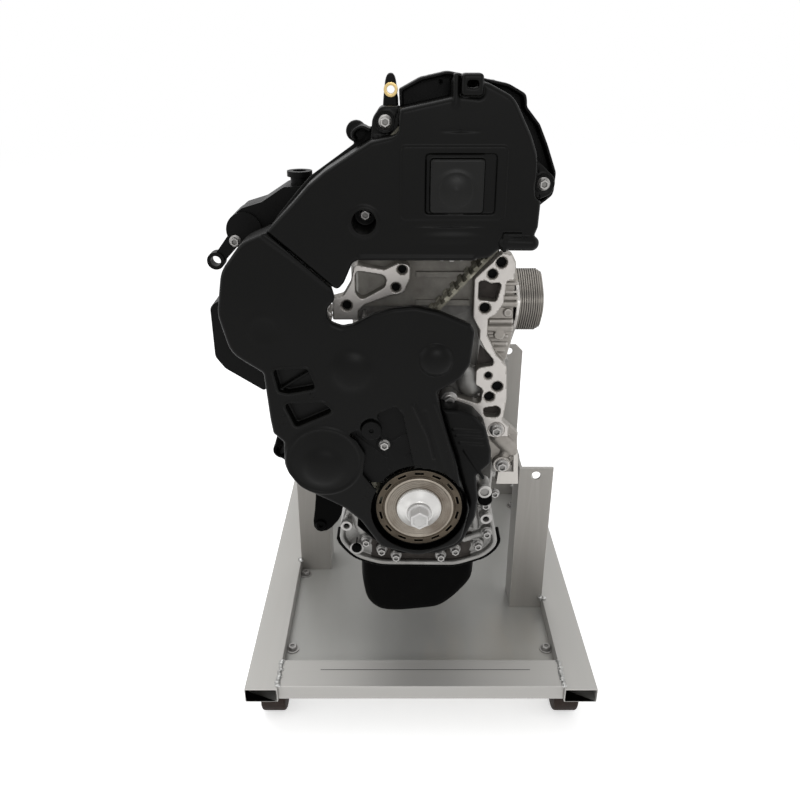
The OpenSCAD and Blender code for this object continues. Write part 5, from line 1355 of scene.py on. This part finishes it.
def lamp(name, where, height, width, depth, power):
    """A soft rectangular lamp that points at a height over the origin."""
    data = bpy.data.lights.new(name, "AREA")
    data.shape = "RECTANGLE"
    data.size, data.size_y, data.energy = width, depth, power
    o = placed(name, data)
    o.location = where
    o.rotation_euler = (Vector((0, 0, height)) - Vector(where)).to_track_quat("-Z", "Y").to_euler()
    return o


def studio():
    """White seamless floor, large soft lamps, and the photograph's viewing angle."""
    scene = bpy.context.scene
    scene.world = bpy.data.worlds.new("studio")
    scene.world.use_nodes = True
    nt = scene.world.node_tree
    soft_light = nt.nodes["Background"]
    feed(nt, soft_light, {"Color": (1, 1, 1, 1), "Strength": 0.55})
    clear = add_node(nt, "Background", {"Color": (1, 1, 1, 1), "Strength": 1.0})
    surface = seen_apart(nt, soft_light.outputs["Background"], clear.outputs["Background"])
    feed(nt, nt.nodes["World Output"], {"Surface": surface})
    floor = white_floor()
    lamps = [lamp("overhead", (-0.35, 0.25, 2.1), 0.4, 1.9, 1.6, 19),
             lamp("left", (-1.8, -0.7, 1.2), 0.5, 1.2, 1.4, 6.5),
             lamp("right", (1.8, -0.5, 1.1), 0.5, 1.0, 1.4, 4.5),
             lamp("front", (0.2, -2.3, 1.3), 0.4, 0.6, 0.35, 8)]
    scene.camera = placed("camera", bpy.data.cameras.new("camera"))
    scene.camera.data.lens = 34.9
    scene.camera.data.sensor_width = 36.0
    scene.camera.location = (-0.0256, -0.951, 0.804)
    scene.camera.rotation_euler = (math.radians(65.2), 0, 0)
    scene.view_settings.view_transform = "Standard"


# ---------------------------------------------------------------- the scene

EDGES = {"oil_cooler": 0.22, "timing_belt": 0.35, "brass_bush": 0.4, "head_gasket": 0.2}
FINISH = {"front_crossbar": "cross_aluminium", "rear_crossbar": "cross_aluminium",
          "cylinder_head": "head_casting", "cam_carrier": "head_casting"}
UNWORN = {"cast_aluminium": "plain_casting", "cast_iron": "iron_casting"}

for build in (upper_cover, lower_cover, inner_cover, lower_inner, front_casting, accessory_casting,
              head_bracket, pump_casting, hole_floors, crank_front, sump_pan, fixings, small_parts, welds,
              flank_relief, cover_relief, rear_relief):
    build()
for node in NODES:
    if node not in DONE:
        piece = dress(node, EDGES.get(node, 1.0), FINISH.get(node) or UNWORN.get(SLOT[node]))
        if node == "oil_cooler":  # its flange and neck are machined in front
            painted(piece, "machined_aluminium", lambda c, n: n.y < -0.5 and c.x < 98)
studio()
